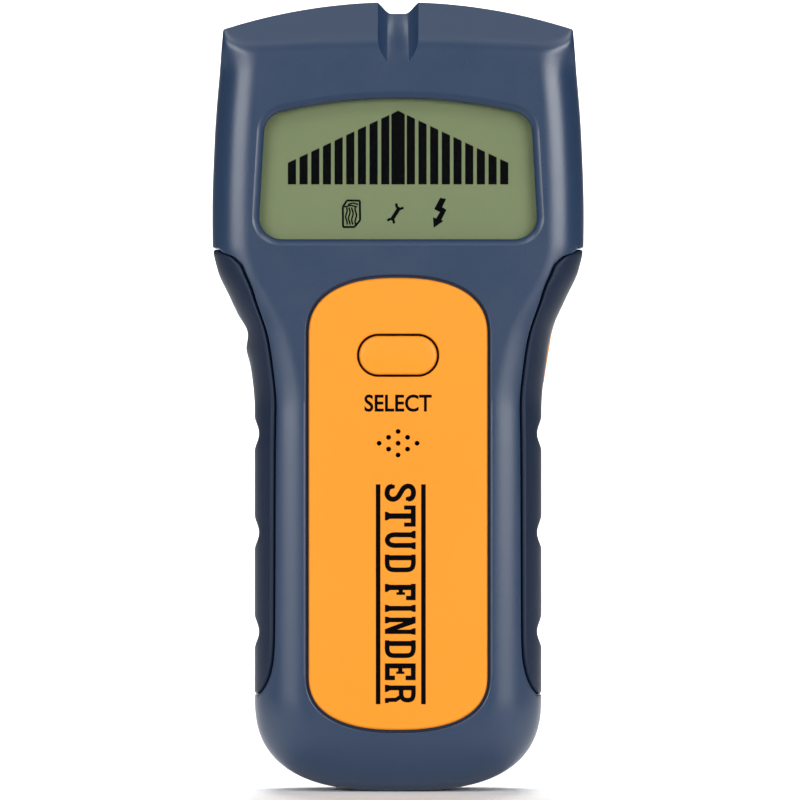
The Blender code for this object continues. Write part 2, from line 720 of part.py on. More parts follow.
def make_rear_shell():
    """Lower half of the casing, with the battery bay, its door opening and the lip that centres the front shell."""
    parting = SEAM_GAP / 2
    shell = skin("rear_shell", back_rings(BACK_Y, parting, (0, 0, 0), BACK_ROUND), blue())
    lip = WALL - 0.6
    thick = tuple(i + lip + SEAM_GAP for i in CAVITY_INSETS)
    near = skin("rear_cavity_mouth", back_rings(3.0, -2.0, thick, 0.4, (0, 90)))
    far = skin("rear_cavity", back_rings(INNER_BACK_Y, 2.0, CAVITY_INSETS, BACK_ROUND - WALL, (0, 90)))
    bosses = bmesh.new()
    for x, z in mirrored_spots(SCREW_SPOTS):
        add_prism(bosses, circle(x, z, BOSS_RADIUS + 0.6, 16), SEAM_GAP, BACK_Y + 2)
    weld(near, far)
    cut(near, from_bmesh("rear_pillars", bosses))
    cut(shell, near)

    outer, inner = (tuple(i + grow for i in CAVITY_INSETS) for grow in (SEAM_GAP, lip))
    rim = skin("lip_rim", [mirror_ring([(r[0], y, r[1]) for r, _ in body_stations(*outer)]) for y in (-1.2, 1.2)])
    core = skin("lip_core", [mirror_ring([(r[0], y, r[1]) for r, _ in body_stations(*inner)]) for y in (-3, 4)])
    relief = bmesh.new()
    for x, z in mirrored_spots(SCREW_SPOTS):
        add_prism(relief, circle(x, z, BOSS_RADIUS + 1.1, 16), -3, 3)
    cut(rim, core, from_bmesh("lip_relief", relief))
    bay = bmesh.new()
    half = BATTERY_SIZE[0] / 2 + BAY_CLEAR
    low, high = BATTERY_FOOT - BAY_CLEAR, BAY_TOP
    add_box(bay, -half - BAY_WALL, half + BAY_WALL, BAY_FLOOR_Y - BAY_WALL, BACK_Y - 1, low - BAY_WALL, high + BAY_WALL)
    ledge = bmesh.new()
    edge = DOOR_WIDTH / 2 + DOOR_GAP + LEDGE
    add_box(ledge, -edge, edge, INNER_BACK_Y - 3.7, BACK_Y - 1.2, DOOR_FOOT - LEDGE + 0.8, DOOR_TOP + LEDGE)
    weld(shell, rim, from_bmesh("bay_block", bay), from_bmesh("bay_ledge", ledge))

    hollow = bmesh.new()
    add_box(hollow, -half, half, BAY_FLOOR_Y, INNER_BACK_Y, low, high)
    opening = bmesh.new()
    add_prism(opening, door_outline(DOOR_GAP), INNER_BACK_Y - SEAM_GAP, BACK_Y + 2)
    hinge = bmesh.new()
    wide = DOOR_WIDTH / 2 + DOOR_GAP
    swing = HINGE_RADIUS + DOOR_GAP
    add_box(hinge, -wide, wide, HINGE_Y - swing, BACK_Y + 1, HINGE_Z - swing, HINGE_Z + swing)
    pin_radius, pin_reach = HINGE_PIN
    reach = DOOR_WIDTH / 2 + pin_reach + SEAM_GAP
    sockets = bmesh.new()
    profile = [(pin_radius + SEAM_GAP, -reach), (pin_radius + SEAM_GAP, reach)]
    add_turned(sockets, (HINGE_Y, HINGE_Z), profile, 12, along="X")
    catch = bmesh.new()
    add_box(catch, -5.4, 5.4, INNER_BACK_Y - 3.3, INNER_BACK_Y, DOOR_FOOT - 0.1, DOOR_FOOT + 2.0)
    details = bmesh.new()
    shanks = bmesh.new()
    for x, z in mirrored_spots(SCREW_SPOTS):
        add_prism(details, circle(x, z, SCREW_HEAD[0] + 0.3, 20), BACK_Y - SCREW_RECESS, BACK_Y + 2)
        add_prism(shanks, circle(x, z, SCREW_RADIUS + 0.3, 12), -3, BACK_Y + 2)
    for outline in pad_outlines(0.2):
        add_prism(details, outline, BACK_Y - PAD_THICK + PAD_PROUD - 0.15, BACK_Y + 2)
    add_prism(details, label_outline(0.2), BACK_Y - LABEL_THICK - 0.15, BACK_Y + 2)
    scoop = bmesh.new()
    bmesh.ops.create_uvsphere(scoop, u_segments=20, v_segments=12, radius=7.5)
    bmesh.ops.translate(scoop, verts=scoop.verts, vec=(0, BACK_Y + 6.2, DOOR_FOOT + 0.5))
    leads = bmesh.new()
    add_box(leads, -4.5, 4.5, -1.0, 6.0, high - 1, high + BAY_WALL + 1)
    cut(shell, from_bmesh("bay_hollow", hollow), from_bmesh("door_opening", opening))
    cut(shell, from_bmesh("hinge_seat", hinge), from_bmesh("pin_sockets", sockets), from_bmesh("catch_seat", catch))
    cut(shell, from_bmesh("back_details", details), from_bmesh("shank_holes", shanks))
    cut(shell, from_bmesh("thumb_scoop", scoop), from_bmesh("lead_slot", leads))
    cut(shell, *grip_seats("rear"), notch_tools("rear"))
    cut(shell, power_hole("rear_power_hole"))
    return shell


def make_grips():
    """Soft side grips that wrap the joint between the shells."""
    make_grip("left_grip", -1, rubber())
    right = make_grip("right_grip", 1, rubber())
    cut(right, power_hole("grip_power_hole"))


def make_panel():
    """The bright face panel, with the hole for the select button and the sound holes."""
    rings = []
    for inward, y in ((0.0, PANEL_BACK_Y), (0.0, PANEL_Y + 0.5), (0.15, PANEL_Y + 0.15), (0.5, PANEL_Y)):
        rings.append([(x, y, z) for x, z in panel_outline(-inward)])
    panel = skin("face_panel", rings, orange())
    holes = bmesh.new()
    add_prism(holes, select_outline(BUTTON_GAP), PANEL_Y - 2, PANEL_BACK_Y + 2)
    for x, z in grille_spots():
        add_prism(holes, circle(x, z, GRILLE_RADIUS, 8), PANEL_Y - 2, PANEL_BACK_Y + 2)
    cut(panel, from_bmesh("panel_holes", holes))


# ---------- controls ----------
SELECT_STEM = 2.0
PLUNGER_TOP_Y = BOARD_Y - BOARD_GAP - SWITCH_HEIGHT - 1.4


def make_select_button():
    """Cap, hidden flange and stem in one moulding."""
    flange_y = PANEL_BACK_Y + BUTTON_GAP
    top = PANEL_Y - SELECT_PROUD
    rings = [[(x, flange_y + 1.0, z) for x, z in select_outline(FLANGE)]]
    rings.append([(x, flange_y, z) for x, z in select_outline(FLANGE)])
    rings.append([(x, flange_y, z) for x, z in select_outline()])
    for inward, y in ((0.0, top + 0.6), (0.18, top + 0.18), (0.6, top)):
        rings.append([(x, y, z) for x, z in select_outline(-inward)])
    button = skin("select_button", rings, orange())
    stem = bmesh.new()
    stem_end = PLUNGER_TOP_Y - BUTTON_GAP
    add_turned(stem, (0, SELECT_Z), [(SELECT_STEM, flange_y + 0.5), (SELECT_STEM, stem_end)], 16)
    weld(button, from_bmesh("select_stem", stem))
    pivot(button, 0, PANEL_Y - SELECT_PROUD, SELECT_Z)


def make_power_button():
    """Pill-shaped cap that follows the side of the body, with a flange behind the wall and a stem."""
    behind_wall = -(GRIP_INSET + WALL + BUTTON_GAP)
    rings = []
    for grow, proud in (
        (POWER_FLANGE, behind_wall - 1.0),
        (POWER_FLANGE, behind_wall),
        (0.0, behind_wall),
        (0.0, POWER_PROUD - 0.5),
        (-0.15, POWER_PROUD - 0.15),
        (-0.5, POWER_PROUD),
    ):
        rings.append([(body_half(z) + proud, y, z) for y, z in power_outline(grow)])
    button = skin("power_button", rings, orange())
    stem = bmesh.new()
    end = power_plunger_x() + BUTTON_GAP
    root = body_half(POWER_Z) + behind_wall - 0.5
    add_turned(stem, (0, POWER_Z), [(1.6, end), (1.6, root)], 14, along="X")
    weld(button, from_bmesh("power_stem", stem))
    pivot(button, body_half(POWER_Z) + POWER_PROUD, 0, POWER_Z)


def power_plunger_x():
    return NECK_HALF + 1.2


def make_switches():
    """Two tact switches: one faces forwards under the select button, one faces the right side."""
    foot = BOARD_Y - BOARD_GAP
    half = SWITCH_SIZE / 2
    shape = bmesh.new()
    add_box(shape, -half, half, foot - SWITCH_HEIGHT, foot, SELECT_Z - half, SELECT_Z + half)
    select = from_bmesh("select_switch", shape, black())
    bore = bmesh.new()
    add_turned(bore, (0, SELECT_Z), [(PLUNGER_RADIUS + 0.2, foot - 1.4), (PLUNGER_RADIUS + 0.2, foot - 9)], 16)
    cut(select, from_bmesh("select_switch_bore", bore))
    plunger = bmesh.new()
    low = foot - 1.4 - SELECT_TRAVEL - 0.3
    add_turned(plunger, (0, SELECT_Z), [(PLUNGER_RADIUS, low), (PLUNGER_RADIUS, PLUNGER_TOP_Y)], 16)
    cream = material("plunger_plastic", (0.6, 0.6, 0.58), 0.4)
    pivot(from_bmesh("select_switch_plunger", plunger, cream, True), 0, PLUNGER_TOP_Y, SELECT_Z)

    near_y = BOARD_BACK_Y + BOARD_GAP
    face_x = NECK_HALF - 0.2
    radius = PLUNGER_RADIUS - 0.35
    shape = bmesh.new()
    add_box(shape, face_x - SWITCH_SIZE, face_x, near_y, near_y + 4.2, POWER_Z - half, POWER_Z + half)
    power = from_bmesh("power_switch", shape, black())
    bore = bmesh.new()
    add_turned(bore, (0, POWER_Z), [(radius + 0.15, face_x - 2.2), (radius + 0.15, face_x + 4)], 14, along="X")
    cut(power, from_bmesh("power_switch_bore", bore))
    plunger = bmesh.new()
    inner = face_x - 2.2 + POWER_TRAVEL + 0.3
    add_turned(plunger, (0, POWER_Z), [(radius, inner), (radius, power_plunger_x())], 14, along="X")
    pivot(from_bmesh("power_switch_plunger", plunger, cream, True), power_plunger_x(), 0, POWER_Z)


# ---------- display ----------
def make_display():
    """Window, liquid-crystal glass, the frame that holds it and the strip that connects it to the board."""
    lens_front = FACE_Y + LENS_RECESS
    lens_step = lens_front + LENS_THICK
    lens_back = lens_step + LENS_FLANGE[1]
    rings = []
    for grow, y in (
        (-0.25, lens_front),
        (-0.25, lens_step),
        (LENS_FLANGE[0], lens_step),
        (LENS_FLANGE[0], lens_back),
    ):
        rings.append([(x, y, z) for x, z in display_outline(grow)])
    skin("display_window", rings, material("clear_window", (0.75, 0.78, 0.7), 0.08))
    glass = bmesh.new()
    half, low, high = DISPLAY_HALF + LCD_BORDER, DISPLAY_FOOT - LCD_BORDER, DISPLAY_TOP + LCD_BORDER
    add_box(glass, -half, half, LCD_FRONT_Y, LCD_BACK_Y, low, high)
    from_bmesh("lcd_glass", glass, material("lcd_glass", (0.16, 0.2, 0.11), 0.2))
    frame = bmesh.new()
    outer = rounded_outline(half + 1.4, low - 1.4, high + 1.4, 1.5, 2)
    inner = rounded_outline(half + SEAM_GAP, low - SEAM_GAP, high + SEAM_GAP, 0.8, 2)
    back_y = BOARD_Y - BOARD_GAP
    add_rings(
        frame,
        [
            [(x, LCD_FRONT_Y, z) for x, z in outer],
            [(x, back_y, z) for x, z in outer],
            [(x, back_y, z) for x, z in inner],
            [(x, LCD_FRONT_Y, z) for x, z in inner],
        ],
        closed_path=True,
    )
    from_bmesh("lcd_frame", frame, black())
    strip = bmesh.new()
    add_box(strip, -half + 3, half - 3, LCD_BACK_Y + BOARD_GAP, back_y, low + 1.0, low + 3.4)
    from_bmesh("lcd_connector_strip", strip, material("zebra_rubber", (0.55, 0.35, 0.33), 0.7))


# ---------- electronics ----------
def board_outline():
    """The main board: as wide as the head allows, cut back beside the upper bosses, narrow between the grips."""
    wide, neck = BOARD_HALF, NECK_HALF
    boss_x, boss_z = SCREW_SPOTS[0]
    right = [
        (neck, BOARD_FOOT),
        (neck, HEAD_Z - 16.0),
        (wide, HEAD_Z - 1.5),
        (wide, boss_z - 8.5),
        (boss_x - 7.7, BOARD_TOP - 1.5),
        (boss_x - 9.7, BOARD_TOP),
    ]
    return right + [(-x, z) for x, z in reversed(right)]


def make_boards():
    """Main board behind the display, and the sensor board against the back of the head."""
    board = bmesh.new()
    add_prism(board, board_outline(), BOARD_Y, BOARD_BACK_Y)
    main = from_bmesh("main_board", board, board_green())
    holes = bmesh.new()
    for x, z in mirrored_spots(POST_SPOTS):
        add_prism(holes, circle(x, z, BOARD_SCREW[2] + 0.3, 12), BOARD_Y - 2, BOARD_BACK_Y + 2)
    cut(main, from_bmesh("main_board_holes", holes))
    half, low, high = SENSOR_BOX
    front = INNER_BACK_Y - 0.8 - SENSOR_THICK
    sensor = bmesh.new()
    add_prism(sensor, rounded_outline(half, low, high, 2.0, 3), front, front + SENSOR_THICK)
    from_bmesh("sensor_board", sensor, board_green())
    plate = bmesh.new()
    add_box(plate, -half * 0.3, half * 0.3, 0, 0.2, low + 2.5, high - 2.5)
    names = ["sensor_plate_left", "sensor_plate_middle", "sensor_plate_right"]
    copper = material("copper", (0.72, 0.38, 0.2), 0.35, 1.0)
    plate_y = front + SENSOR_THICK + 0.15
    place_copies(from_bmesh(names[0], plate, copper), names, [(i * half * 0.66, plate_y, 0) for i in (-1, 0, 1)])
    coil = bmesh.new()
    middle = (low + high) / 2
    near, far = COIL_RADII
    y0, y1 = front - BOARD_GAP - COIL_THICK, front - BOARD_GAP
    rings = []
    for radius, y in ((far, y0 + 0.5), (far, y1 - 0.5), (far - 0.5, y1), (near + 0.5, y1), (near, y1 - 0.5),
                      (near, y0 + 0.5), (near + 0.5, y0), (far - 0.5, y0)):
        rings.append([(x, y, z) for x, z in circle(0, middle, radius, 32)])
    add_rings(coil, rings, closed_path=True)
    from_bmesh("detector_coil", coil, copper, True)
    spots = mirrored_spots(((half - 3.0, low + 3.0), (half - 3.0, high - 3.0)))
    spacer = bmesh.new()
    add_turned(spacer, (0, 0), [(1.9, BOARD_BACK_Y + BOARD_GAP), (1.9, front - BOARD_GAP)], 12)
    names = numbered("board_spacer", len(spots))
    first = from_bmesh(names[0], spacer, material("nylon", (0.8, 0.79, 0.74), 0.5), True)
    place_copies(first, names, [(x, 0, z) for x, z in spots])
    header = bmesh.new()
    add_box(header, 9.0, 21.7, BOARD_BACK_Y + BOARD_GAP, front - BOARD_GAP, low + 0.6, low + 3.1)
    from_bmesh("board_header", header, black())


def make_components():
    """Chips, capacitors, the buzzer and the switch-side parts on the main board."""
    back = BOARD_BACK_Y + BOARD_GAP
    chip_z = HEAD_Z - 10.0
    for name, x, z, wide, tall in (
        ("control_chip", -8.0, chip_z, 6.4, 3.8),
        ("amplifier_chip", 8.5, chip_z + 1, 2.5, 2.0),
    ):
        shape = bmesh.new()
        rings = []
        for inward, y in ((0.0, back), (0.0, back + 1.6), (0.3, back + 2.0)):
            outline = rounded_outline(wide - inward, z - tall + inward, z + tall - inward, 0.3, 1, x)
            rings.append([(u, y, v) for u, v in outline])
        add_rings(shape, rings)
        from_bmesh(name, shape, black())
    crystal = bmesh.new()
    outline = rounded_outline(5.2, -1.9, 1.9, 1.85, 4)
    add_prism(crystal, [(u + 9.0, v + chip_z - 8.0) for u, v in outline], back, back + 3.4)
    from_bmesh("crystal", crystal, steel(), True)
    can = bmesh.new()
    add_turned(can, (0, 0), [(2.5, back), (2.5, back + 5.0), (2.2, back + 5.4)], 14)
    names = numbered("capacitor", 2)
    first = from_bmesh(names[0], can, material("capacitor_sleeve", (0.05, 0.06, 0.12), 0.35), True)
    place_copies(first, names, [(6 - NECK_HALF, 0, POWER_Z), (6 - NECK_HALF, 0, POWER_Z - 9)])
    buzzer = bmesh.new()
    foot = BOARD_Y - BOARD_GAP
    top = foot - BUZZER_HEIGHT
    profile = [(BUZZER_RADIUS, foot), (BUZZER_RADIUS, top + 0.5), (BUZZER_RADIUS - 0.5, top),
               (1.1, top), (1.1, top + 1.5)]
    add_turned(buzzer, (0, GRILLE_Z), profile, 24)
    from_bmesh("buzzer", buzzer, black(), True)


# ---------- battery ----------
def make_battery():
    """The 9 V block, its two snap terminals and the connector with its leads."""
    wide, deep, tall = BATTERY_SIZE
    middle_y = BATTERY_BACK_Y - deep / 2
    shape = bmesh.new()
    section = rounded_outline(wide / 2, -deep / 2, deep / 2, 2.2, 4)
    for_rings = ((0.5, BATTERY_FOOT), (0.0, BATTERY_FOOT + 0.5), (0.0, BATTERY_TOP - 0.5), (0.5, BATTERY_TOP))
    rings = []
    for inward, z in for_rings:
        ratio = 1 - inward / (deep / 2)
        rings.append([(x * (1 - inward / (wide / 2)), middle_y + y * ratio, z) for x, y in section])
    add_rings(shape, rings)
    from_bmesh("battery", shape, material("battery_case", (0.05, 0.05, 0.055), 0.35), True)
    base = BATTERY_TOP + 0.15
    tip = base + TERMINAL_HEIGHT
    for name, side, radius, sides in (("battery_plus", -1, 2.9, 16), ("battery_minus", 1, 3.9, 6)):
        stud = bmesh.new()
        add_turned(stud, (side * TERMINAL_PITCH / 2, middle_y), [(radius, base), (radius, tip)], sides, along="Z")
        from_bmesh(name, stud, steel(), True)
    snap = bmesh.new()
    half_x, half_y = SNAP_SIZE[0] / 2, SNAP_SIZE[1] / 2
    low = BATTERY_TOP + SEAM_GAP
    outline = rounded_outline(half_x, -half_y, half_y, 5.0, 4)
    add_rings(snap, [[(x, middle_y + y, z) for x, y in outline] for z in (low, low + SNAP_SIZE[2])])
    connector = from_bmesh("battery_snap", snap, black(), True)
    wells = bmesh.new()
    for side in (-1, 1):
        centre = (side * TERMINAL_PITCH / 2, middle_y)
        add_turned(wells, centre, [(4.3, low - 1), (4.3, tip + 0.3)], 16, along="Z")
    cut(connector, from_bmesh("snap_wells", wells))


def make_lead(name, side, colour):
    """One lead: up out of the connector, forwards through the bay's slot and onto the back of the board."""
    middle_y = BATTERY_BACK_Y - BATTERY_SIZE[1] / 2
    start = BATTERY_TOP + SEAM_GAP + SNAP_SIZE[2] + 0.3
    route = (
        (2.4 * side, middle_y + 1.0, start),
        (2.4 * side, middle_y + 1.0, BAY_TOP + BAY_WALL),
        (2.6 * side, middle_y + 0.6, BAY_TOP + BAY_WALL + 3.0),
        (3.4 * side, BOARD_BACK_Y + 3.4, BOARD_FOOT + 5.0),
        (4.0 * side, BOARD_BACK_Y + 2.4, BOARD_FOOT + 8.6),
        (4.0 * side, BOARD_BACK_Y + 0.35, BOARD_FOOT + 9.1),
    )
    curve = bpy.data.curves.new(name, "CURVE")
    curve.dimensions = "3D"
    curve.bevel_depth = LEAD_RADIUS * MM
    curve.bevel_resolution = 1
    curve.use_fill_caps = True
    spline = curve.splines.new("POLY")
    points = catmull(route, 4)
    spline.points.add(len(points) - 1)
    for point, place in zip(spline.points, points):
        point.co = (*(place * MM), 1.0)
    new_object(name, curve, material(name, colour, 0.4))


def catmull(route, count):
    """Points of a smooth curve through the route, count to each stretch."""
    knots = [Vector(p) for p in route]
    ends = [2 * knots[0] - knots[1]] + knots + [2 * knots[-1] - knots[-2]]
    points = []
    for a, b, c, d in zip(ends, ends[1:], ends[2:], ends[3:]):
        for i in range(count):
            t = i / count
            points.append(
                0.5 * (2 * b + (c - a) * t + (2 * a - 5 * b + 4 * c - d) * t**2 + (3 * b - a - 3 * c + d) * t**3)
            )
    return points + [knots[-1]]


def door_outline(grow=0.0):
    """The door's outline: square upper corners, where its hinge barrel is, and round lower ones."""
    half, low = DOOR_WIDTH / 2 + grow, DOOR_FOOT - grow
    radius = DOOR_CORNER + grow
    outline = rounded_outline(half, low, low + 4 * radius, radius, 3)
    return outline[:4] + [(half, DOOR_TOP + grow), (-half, DOOR_TOP + grow)] + outline[-4:]


def make_door():
    """Battery door: a plate with a hinge barrel and pins at its upper edge, and a ridged latch at its foot."""
    half = DOOR_WIDTH / 2
    barrel = []
    for degrees in even(264, 0, 8):
        t = math.radians(degrees)
        barrel.append((HINGE_Y + HINGE_RADIUS * math.cos(t), HINGE_Z + HINGE_RADIUS * math.sin(t)))
    rings = []
    for x in (-half, 0.1 - half, 0.55 - half, DOOR_CORNER - half):
        inside = DOOR_CORNER - half - x
        foot = DOOR_FOOT + DOOR_CORNER - math.sqrt(max(DOOR_CORNER**2 - inside**2, 0.0))
        rings.append([(x, INNER_BACK_Y, foot)] + [(x, y, z) for y, z in barrel])
        rings[-1] += [(x, BACK_Y, foot + 0.4), (x, BACK_Y - 0.4, foot)]
    rings += [[(-x, y, z) for x, y, z in ring] for ring in reversed(rings)]
    door = skin("battery_door", rings, blue())
    radius, reach = HINGE_PIN
    pins = bmesh.new()
    add_turned(pins, (HINGE_Y, HINGE_Z), [(radius, -half - reach), (radius, half + reach)], 12, along="X")
    latch = bmesh.new()
    add_box(latch, -5.0, 5.0, INNER_BACK_Y - 3.0, INNER_BACK_Y + 1.0, DOOR_FOOT + 0.3, DOOR_FOOT + 1.4)
    weld(door, from_bmesh("door_pins", pins), from_bmesh("door_latch", latch))
    grooves = bmesh.new()
    for i in range(4):
        z = DOOR_FOOT + 2.2 + 1.6 * i
        add_box(grooves, -6.0 + i * 0.9, 6.0 - i * 0.9, BACK_Y - 0.4, BACK_Y + 1, z, z + 0.7)
    cut(door, from_bmesh("latch_grooves", grooves))
    pivot(door, 0, HINGE_Y, HINGE_Z)
    foam = bmesh.new()
    foam_y = INNER_BACK_Y - SEAM_GAP
    add_box(foam, -9.0, 9.0, foam_y - FOAM_THICK, foam_y, BATTERY_FOOT + 10, BATTERY_TOP - 6)
    pivot(from_bmesh("door_foam", foam, material("foam", (0.03, 0.03, 0.032), 0.95)), 0, HINGE_Y, HINGE_Z)


# ---------- fasteners and trim ----------
def make_screw_set(name, spots, top_y, sizes, sides):
    """Cross-recess pan-head screws that point towards -Y, the tops of their heads at top_y."""
    radius, height, shank, length = sizes
    profile = [
        (radius * 0.7, 0.0),
        (radius * 0.94, -height * 0.3),
        (radius, -height),
        (shank, -height),
        (shank, -height - length + 1.2),
        (0.3, -height - length),
    ]
    shape = bmesh.new()
    add_turned(shape, (0, 0), profile, sides)
    arm, thin = radius * 0.58, radius * 0.14
    corner = [(arm, -thin), (arm, thin), (thin, thin)]
    cross = [(c * u - s * v, s * u + c * v) for c, s in ((1, 0), (0, 1), (-1, 0), (0, -1)) for u, v in corner]
    points = [(x, y, z) for y in (-height * 0.55, 1.0) for x, z in cross]
    recess = bmesh.new()
    add_rings(recess, [points[:12], points[12:]])
    bmesh.ops.recalc_face_normals(recess, faces=recess.faces)
    names = numbered(name, len(spots))
    screw = from_bmesh(names[0], shape, steel(), True)
    tool = from_bmesh(f"{name}_recess", recess)
    place_copies(screw, names, [(x, top_y, z) for x, z in spots])
    for name in names:
        copy_of_tool = tool if name == names[0] else new_object(f"{name}_recess", tool.data, None)
        copy_of_tool.location = bpy.data.objects[name].location
        cut(bpy.data.objects[name], copy_of_tool)


def make_screws():
    """Four case screws from the back, and six that hold the main board to the front shell's posts."""
    head, height = SCREW_HEAD
    top_y = BACK_Y - SCREW_RECESS + SEAM_GAP / 2 + height
    make_screw_set("case_screw", mirrored_spots(SCREW_SPOTS), top_y, (head, height, SCREW_RADIUS, SCREW_LENGTH), 14)
    top_y = BOARD_BACK_Y + BOARD_GAP + BOARD_SCREW[1]
    make_screw_set("board_screw", mirrored_spots(POST_SPOTS), top_y, BOARD_SCREW, 10)


def pad_outlines(grow):
    """Felt glides: one across the head and one on each side of the door."""
    wide = TOP_WIDTH / 2 - 12.5
    top = rounded_outline(wide + grow, LENGTH - 11.6 - grow, LENGTH - 8.0 + grow, 1.2, 3)
    outlines = [top]
    x = (DOOR_WIDTH / 2 + DOOR_GAP + GRIP_WIDTH / 2 - BACK_ROUND) / 2 + 0.3
    for side in (-1, 1):
        outlines.append(rounded_outline(1.5 + grow, 24.0 - grow, BAY_TOP - 4 + grow, 1.2, 3, side * x))
    return outlines


def label_outline(grow):
    half, tall = LABEL_SIZE[0] / 2 + grow, LABEL_SIZE[1] / 2 + grow
    middle = HEAD_Z - 14.0
    return rounded_outline(half, middle - tall, middle + tall, 2.0, 3)


def make_back_trim():
    for name, outline in zip(("top_glide", "left_glide", "right_glide"), pad_outlines(0.0)):
        pad = bmesh.new()
        add_prism(pad, outline, BACK_Y + PAD_PROUD - PAD_THICK, BACK_Y + PAD_PROUD)
        from_bmesh(name, pad, material("felt", (0.05, 0.05, 0.055), 0.95))
    label = bmesh.new()
    add_prism(label, label_outline(0.0), BACK_Y - LABEL_THICK, BACK_Y)
    from_bmesh("back_label", label, material("label_film", (0.6, 0.6, 0.6), 0.4))


def main():
    for leftover in list(bpy.data.objects):
        bpy.data.objects.remove(leftover)
    make_front_shell()
    make_rear_shell()
    make_grips()
    make_panel()
    make_select_button()
    make_power_button()
    make_switches()
    make_display()
    make_boards()
    make_components()
    make_battery()
    make_lead("battery_lead_red", 1, (0.6, 0.02, 0.02))
    make_lead("battery_lead_black", -1, (0.02, 0.02, 0.02))
    make_door()
    make_screws()
    make_back_trim()


main()
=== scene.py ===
# Looks of the stud finder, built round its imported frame. Lengths in the dictionaries are millimetres.
import json
import math

import bmesh
import bpy
import numpy as np
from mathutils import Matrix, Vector


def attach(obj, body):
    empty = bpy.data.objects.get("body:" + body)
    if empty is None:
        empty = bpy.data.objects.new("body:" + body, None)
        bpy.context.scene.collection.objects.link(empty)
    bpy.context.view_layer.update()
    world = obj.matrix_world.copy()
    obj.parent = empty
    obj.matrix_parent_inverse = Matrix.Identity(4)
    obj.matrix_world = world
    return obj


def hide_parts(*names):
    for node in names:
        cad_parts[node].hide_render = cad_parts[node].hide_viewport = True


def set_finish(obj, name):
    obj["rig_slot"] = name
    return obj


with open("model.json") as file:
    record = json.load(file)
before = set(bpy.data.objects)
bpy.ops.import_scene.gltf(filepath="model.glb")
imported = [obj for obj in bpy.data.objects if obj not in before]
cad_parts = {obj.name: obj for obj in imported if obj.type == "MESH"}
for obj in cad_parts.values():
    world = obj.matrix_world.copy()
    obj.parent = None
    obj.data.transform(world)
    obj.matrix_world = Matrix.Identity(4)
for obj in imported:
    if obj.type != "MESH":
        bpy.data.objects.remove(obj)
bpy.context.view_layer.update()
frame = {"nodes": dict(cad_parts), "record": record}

mm = 0.001
print("frame loaded:", len(frame["nodes"]), "nodes")

# the body, shared by the shells and the grips
body = {
    "length": 165.0,
    "headHalf": 38.85,
    "gripHalf": 30.1,
    "topHalf": 36.5,
    "backY": 14.0,
    "faceY": -13.2,
    "wall": 2.0,
    "tailHeight": 20.7,
    "tailPower": 2.7,
    "tailShoulder": 12.3,
    "headZ": 114.5,
    "gripTop": 113.65,
    "gripFoot": 20.1,
    "topRise": 5.85,
    "cornerRound": 0.25,
    "backRound": 5.0,
    "bandZ": 156.0,
    "bandArch": 1.1,
    "bandSlope": 0.483,
    "creaseSoftness": 0.75,
    "cornerFade": (-6.0, 8.0, 0.6),
    "headShoulder": (8.0, 6.0),
    "gripShoulder": (10.7, 9.5),
    "topWall": 5.2,
    "sideInset": 3.9,
}
faceY = body["faceY"]
backY = body["backY"]
headZ = body["headZ"]
gripTop, gripFoot = body["gripTop"], body["gripFoot"]
tailZ = body["tailHeight"]
cornerZ = body["length"] - body["topRise"]
topRadius = (body["topHalf"] ** 2 + body["topRise"] ** 2) / (2 * body["topRise"])
flatTopZ = body["bandZ"] - 3.2


def smoothCurve(points):
    # monotone cubic: Hermite spans whose inner slopes are the harmonic mean of the two chords beside them
    places, values = np.array(points, float).T
    steps = np.diff(places)
    chords = np.diff(values) / steps
    product = chords[:-1] * chords[1:]
    inner = np.where(product > 0, 2 * product / np.where(product > 0, chords[:-1] + chords[1:], 1), 0)
    slopes = np.concatenate([chords[:1], inner, chords[-1:]])

    def value(place):
        place = np.clip(np.asarray(place, float), places[0], places[-1])
        i = np.clip(np.searchsorted(places, place, "right") - 1, 0, len(steps) - 1)
        h = steps[i]
        t = (place - places[i]) / h
        start = values[i] * (1 + 2 * t) * (1 - t) ** 2 + slopes[i] * h * t * (1 - t) ** 2
        return start + values[i + 1] * t * t * (3 - 2 * t) + slopes[i + 1] * h * t * t * (t - 1)

    return value


gripHalf, headHalf = body["gripHalf"], body["headHalf"]
neckGrowth = ((34.5, 0.0), (24.5, 0.107), (18.5, 0.23), (11.5, 0.567), (5.5, 0.876), (0.0, 0.995))
neckPoints = [(headZ - drop, gripHalf + share * (headHalf - gripHalf)) for drop, share in neckGrowth]
headPoints = [(headZ + 6, headHalf), (headZ + 22, headHalf - 0.5), (cornerZ, body["topHalf"])]
bodyHalf = smoothCurve([(tailZ, gripHalf)] + neckPoints + headPoints)
shoulderPlaces = (tailZ, headZ - 34.5, headZ, body["length"])
kinds = ("gripShoulder", "gripShoulder", "headShoulder", "headShoulder")
shoulderWidth = smoothCurve([(z, body[k][0]) for z, k in zip(shoulderPlaces, kinds)])
shoulderDepth = smoothCurve([(z, body[k][1]) for z, k in zip(shoulderPlaces, kinds)])
# how far the grips' front edge lies inside the rim, from their foot to their top
reachUpFoot = ((0.0, 0.35), (2.2, 1.9), (5.0, 3.0), (8.5, 3.6), (12.7, 3.8), (50.6, 3.95))
reachDownHead = ((30.0, 4.15), (17.6, 4.2), (11.9, 4.75), (7.7, 5.35))
reachDownTop = ((4.0, 5.15), (2.6, 4.3), (1.7, 3.3), (1.2, 1.8), (0.4, 0.7))
gripReach = smoothCurve(
    [(gripFoot + up, reach) for up, reach in reachUpFoot]
    + [(headZ - down, reach) for down, reach in reachDownHead]
    + [(gripTop - down, reach) for down, reach in reachDownTop]
)


def topArc(x):
    return body["length"] - topRadius + np.sqrt(topRadius**2 - x * x)


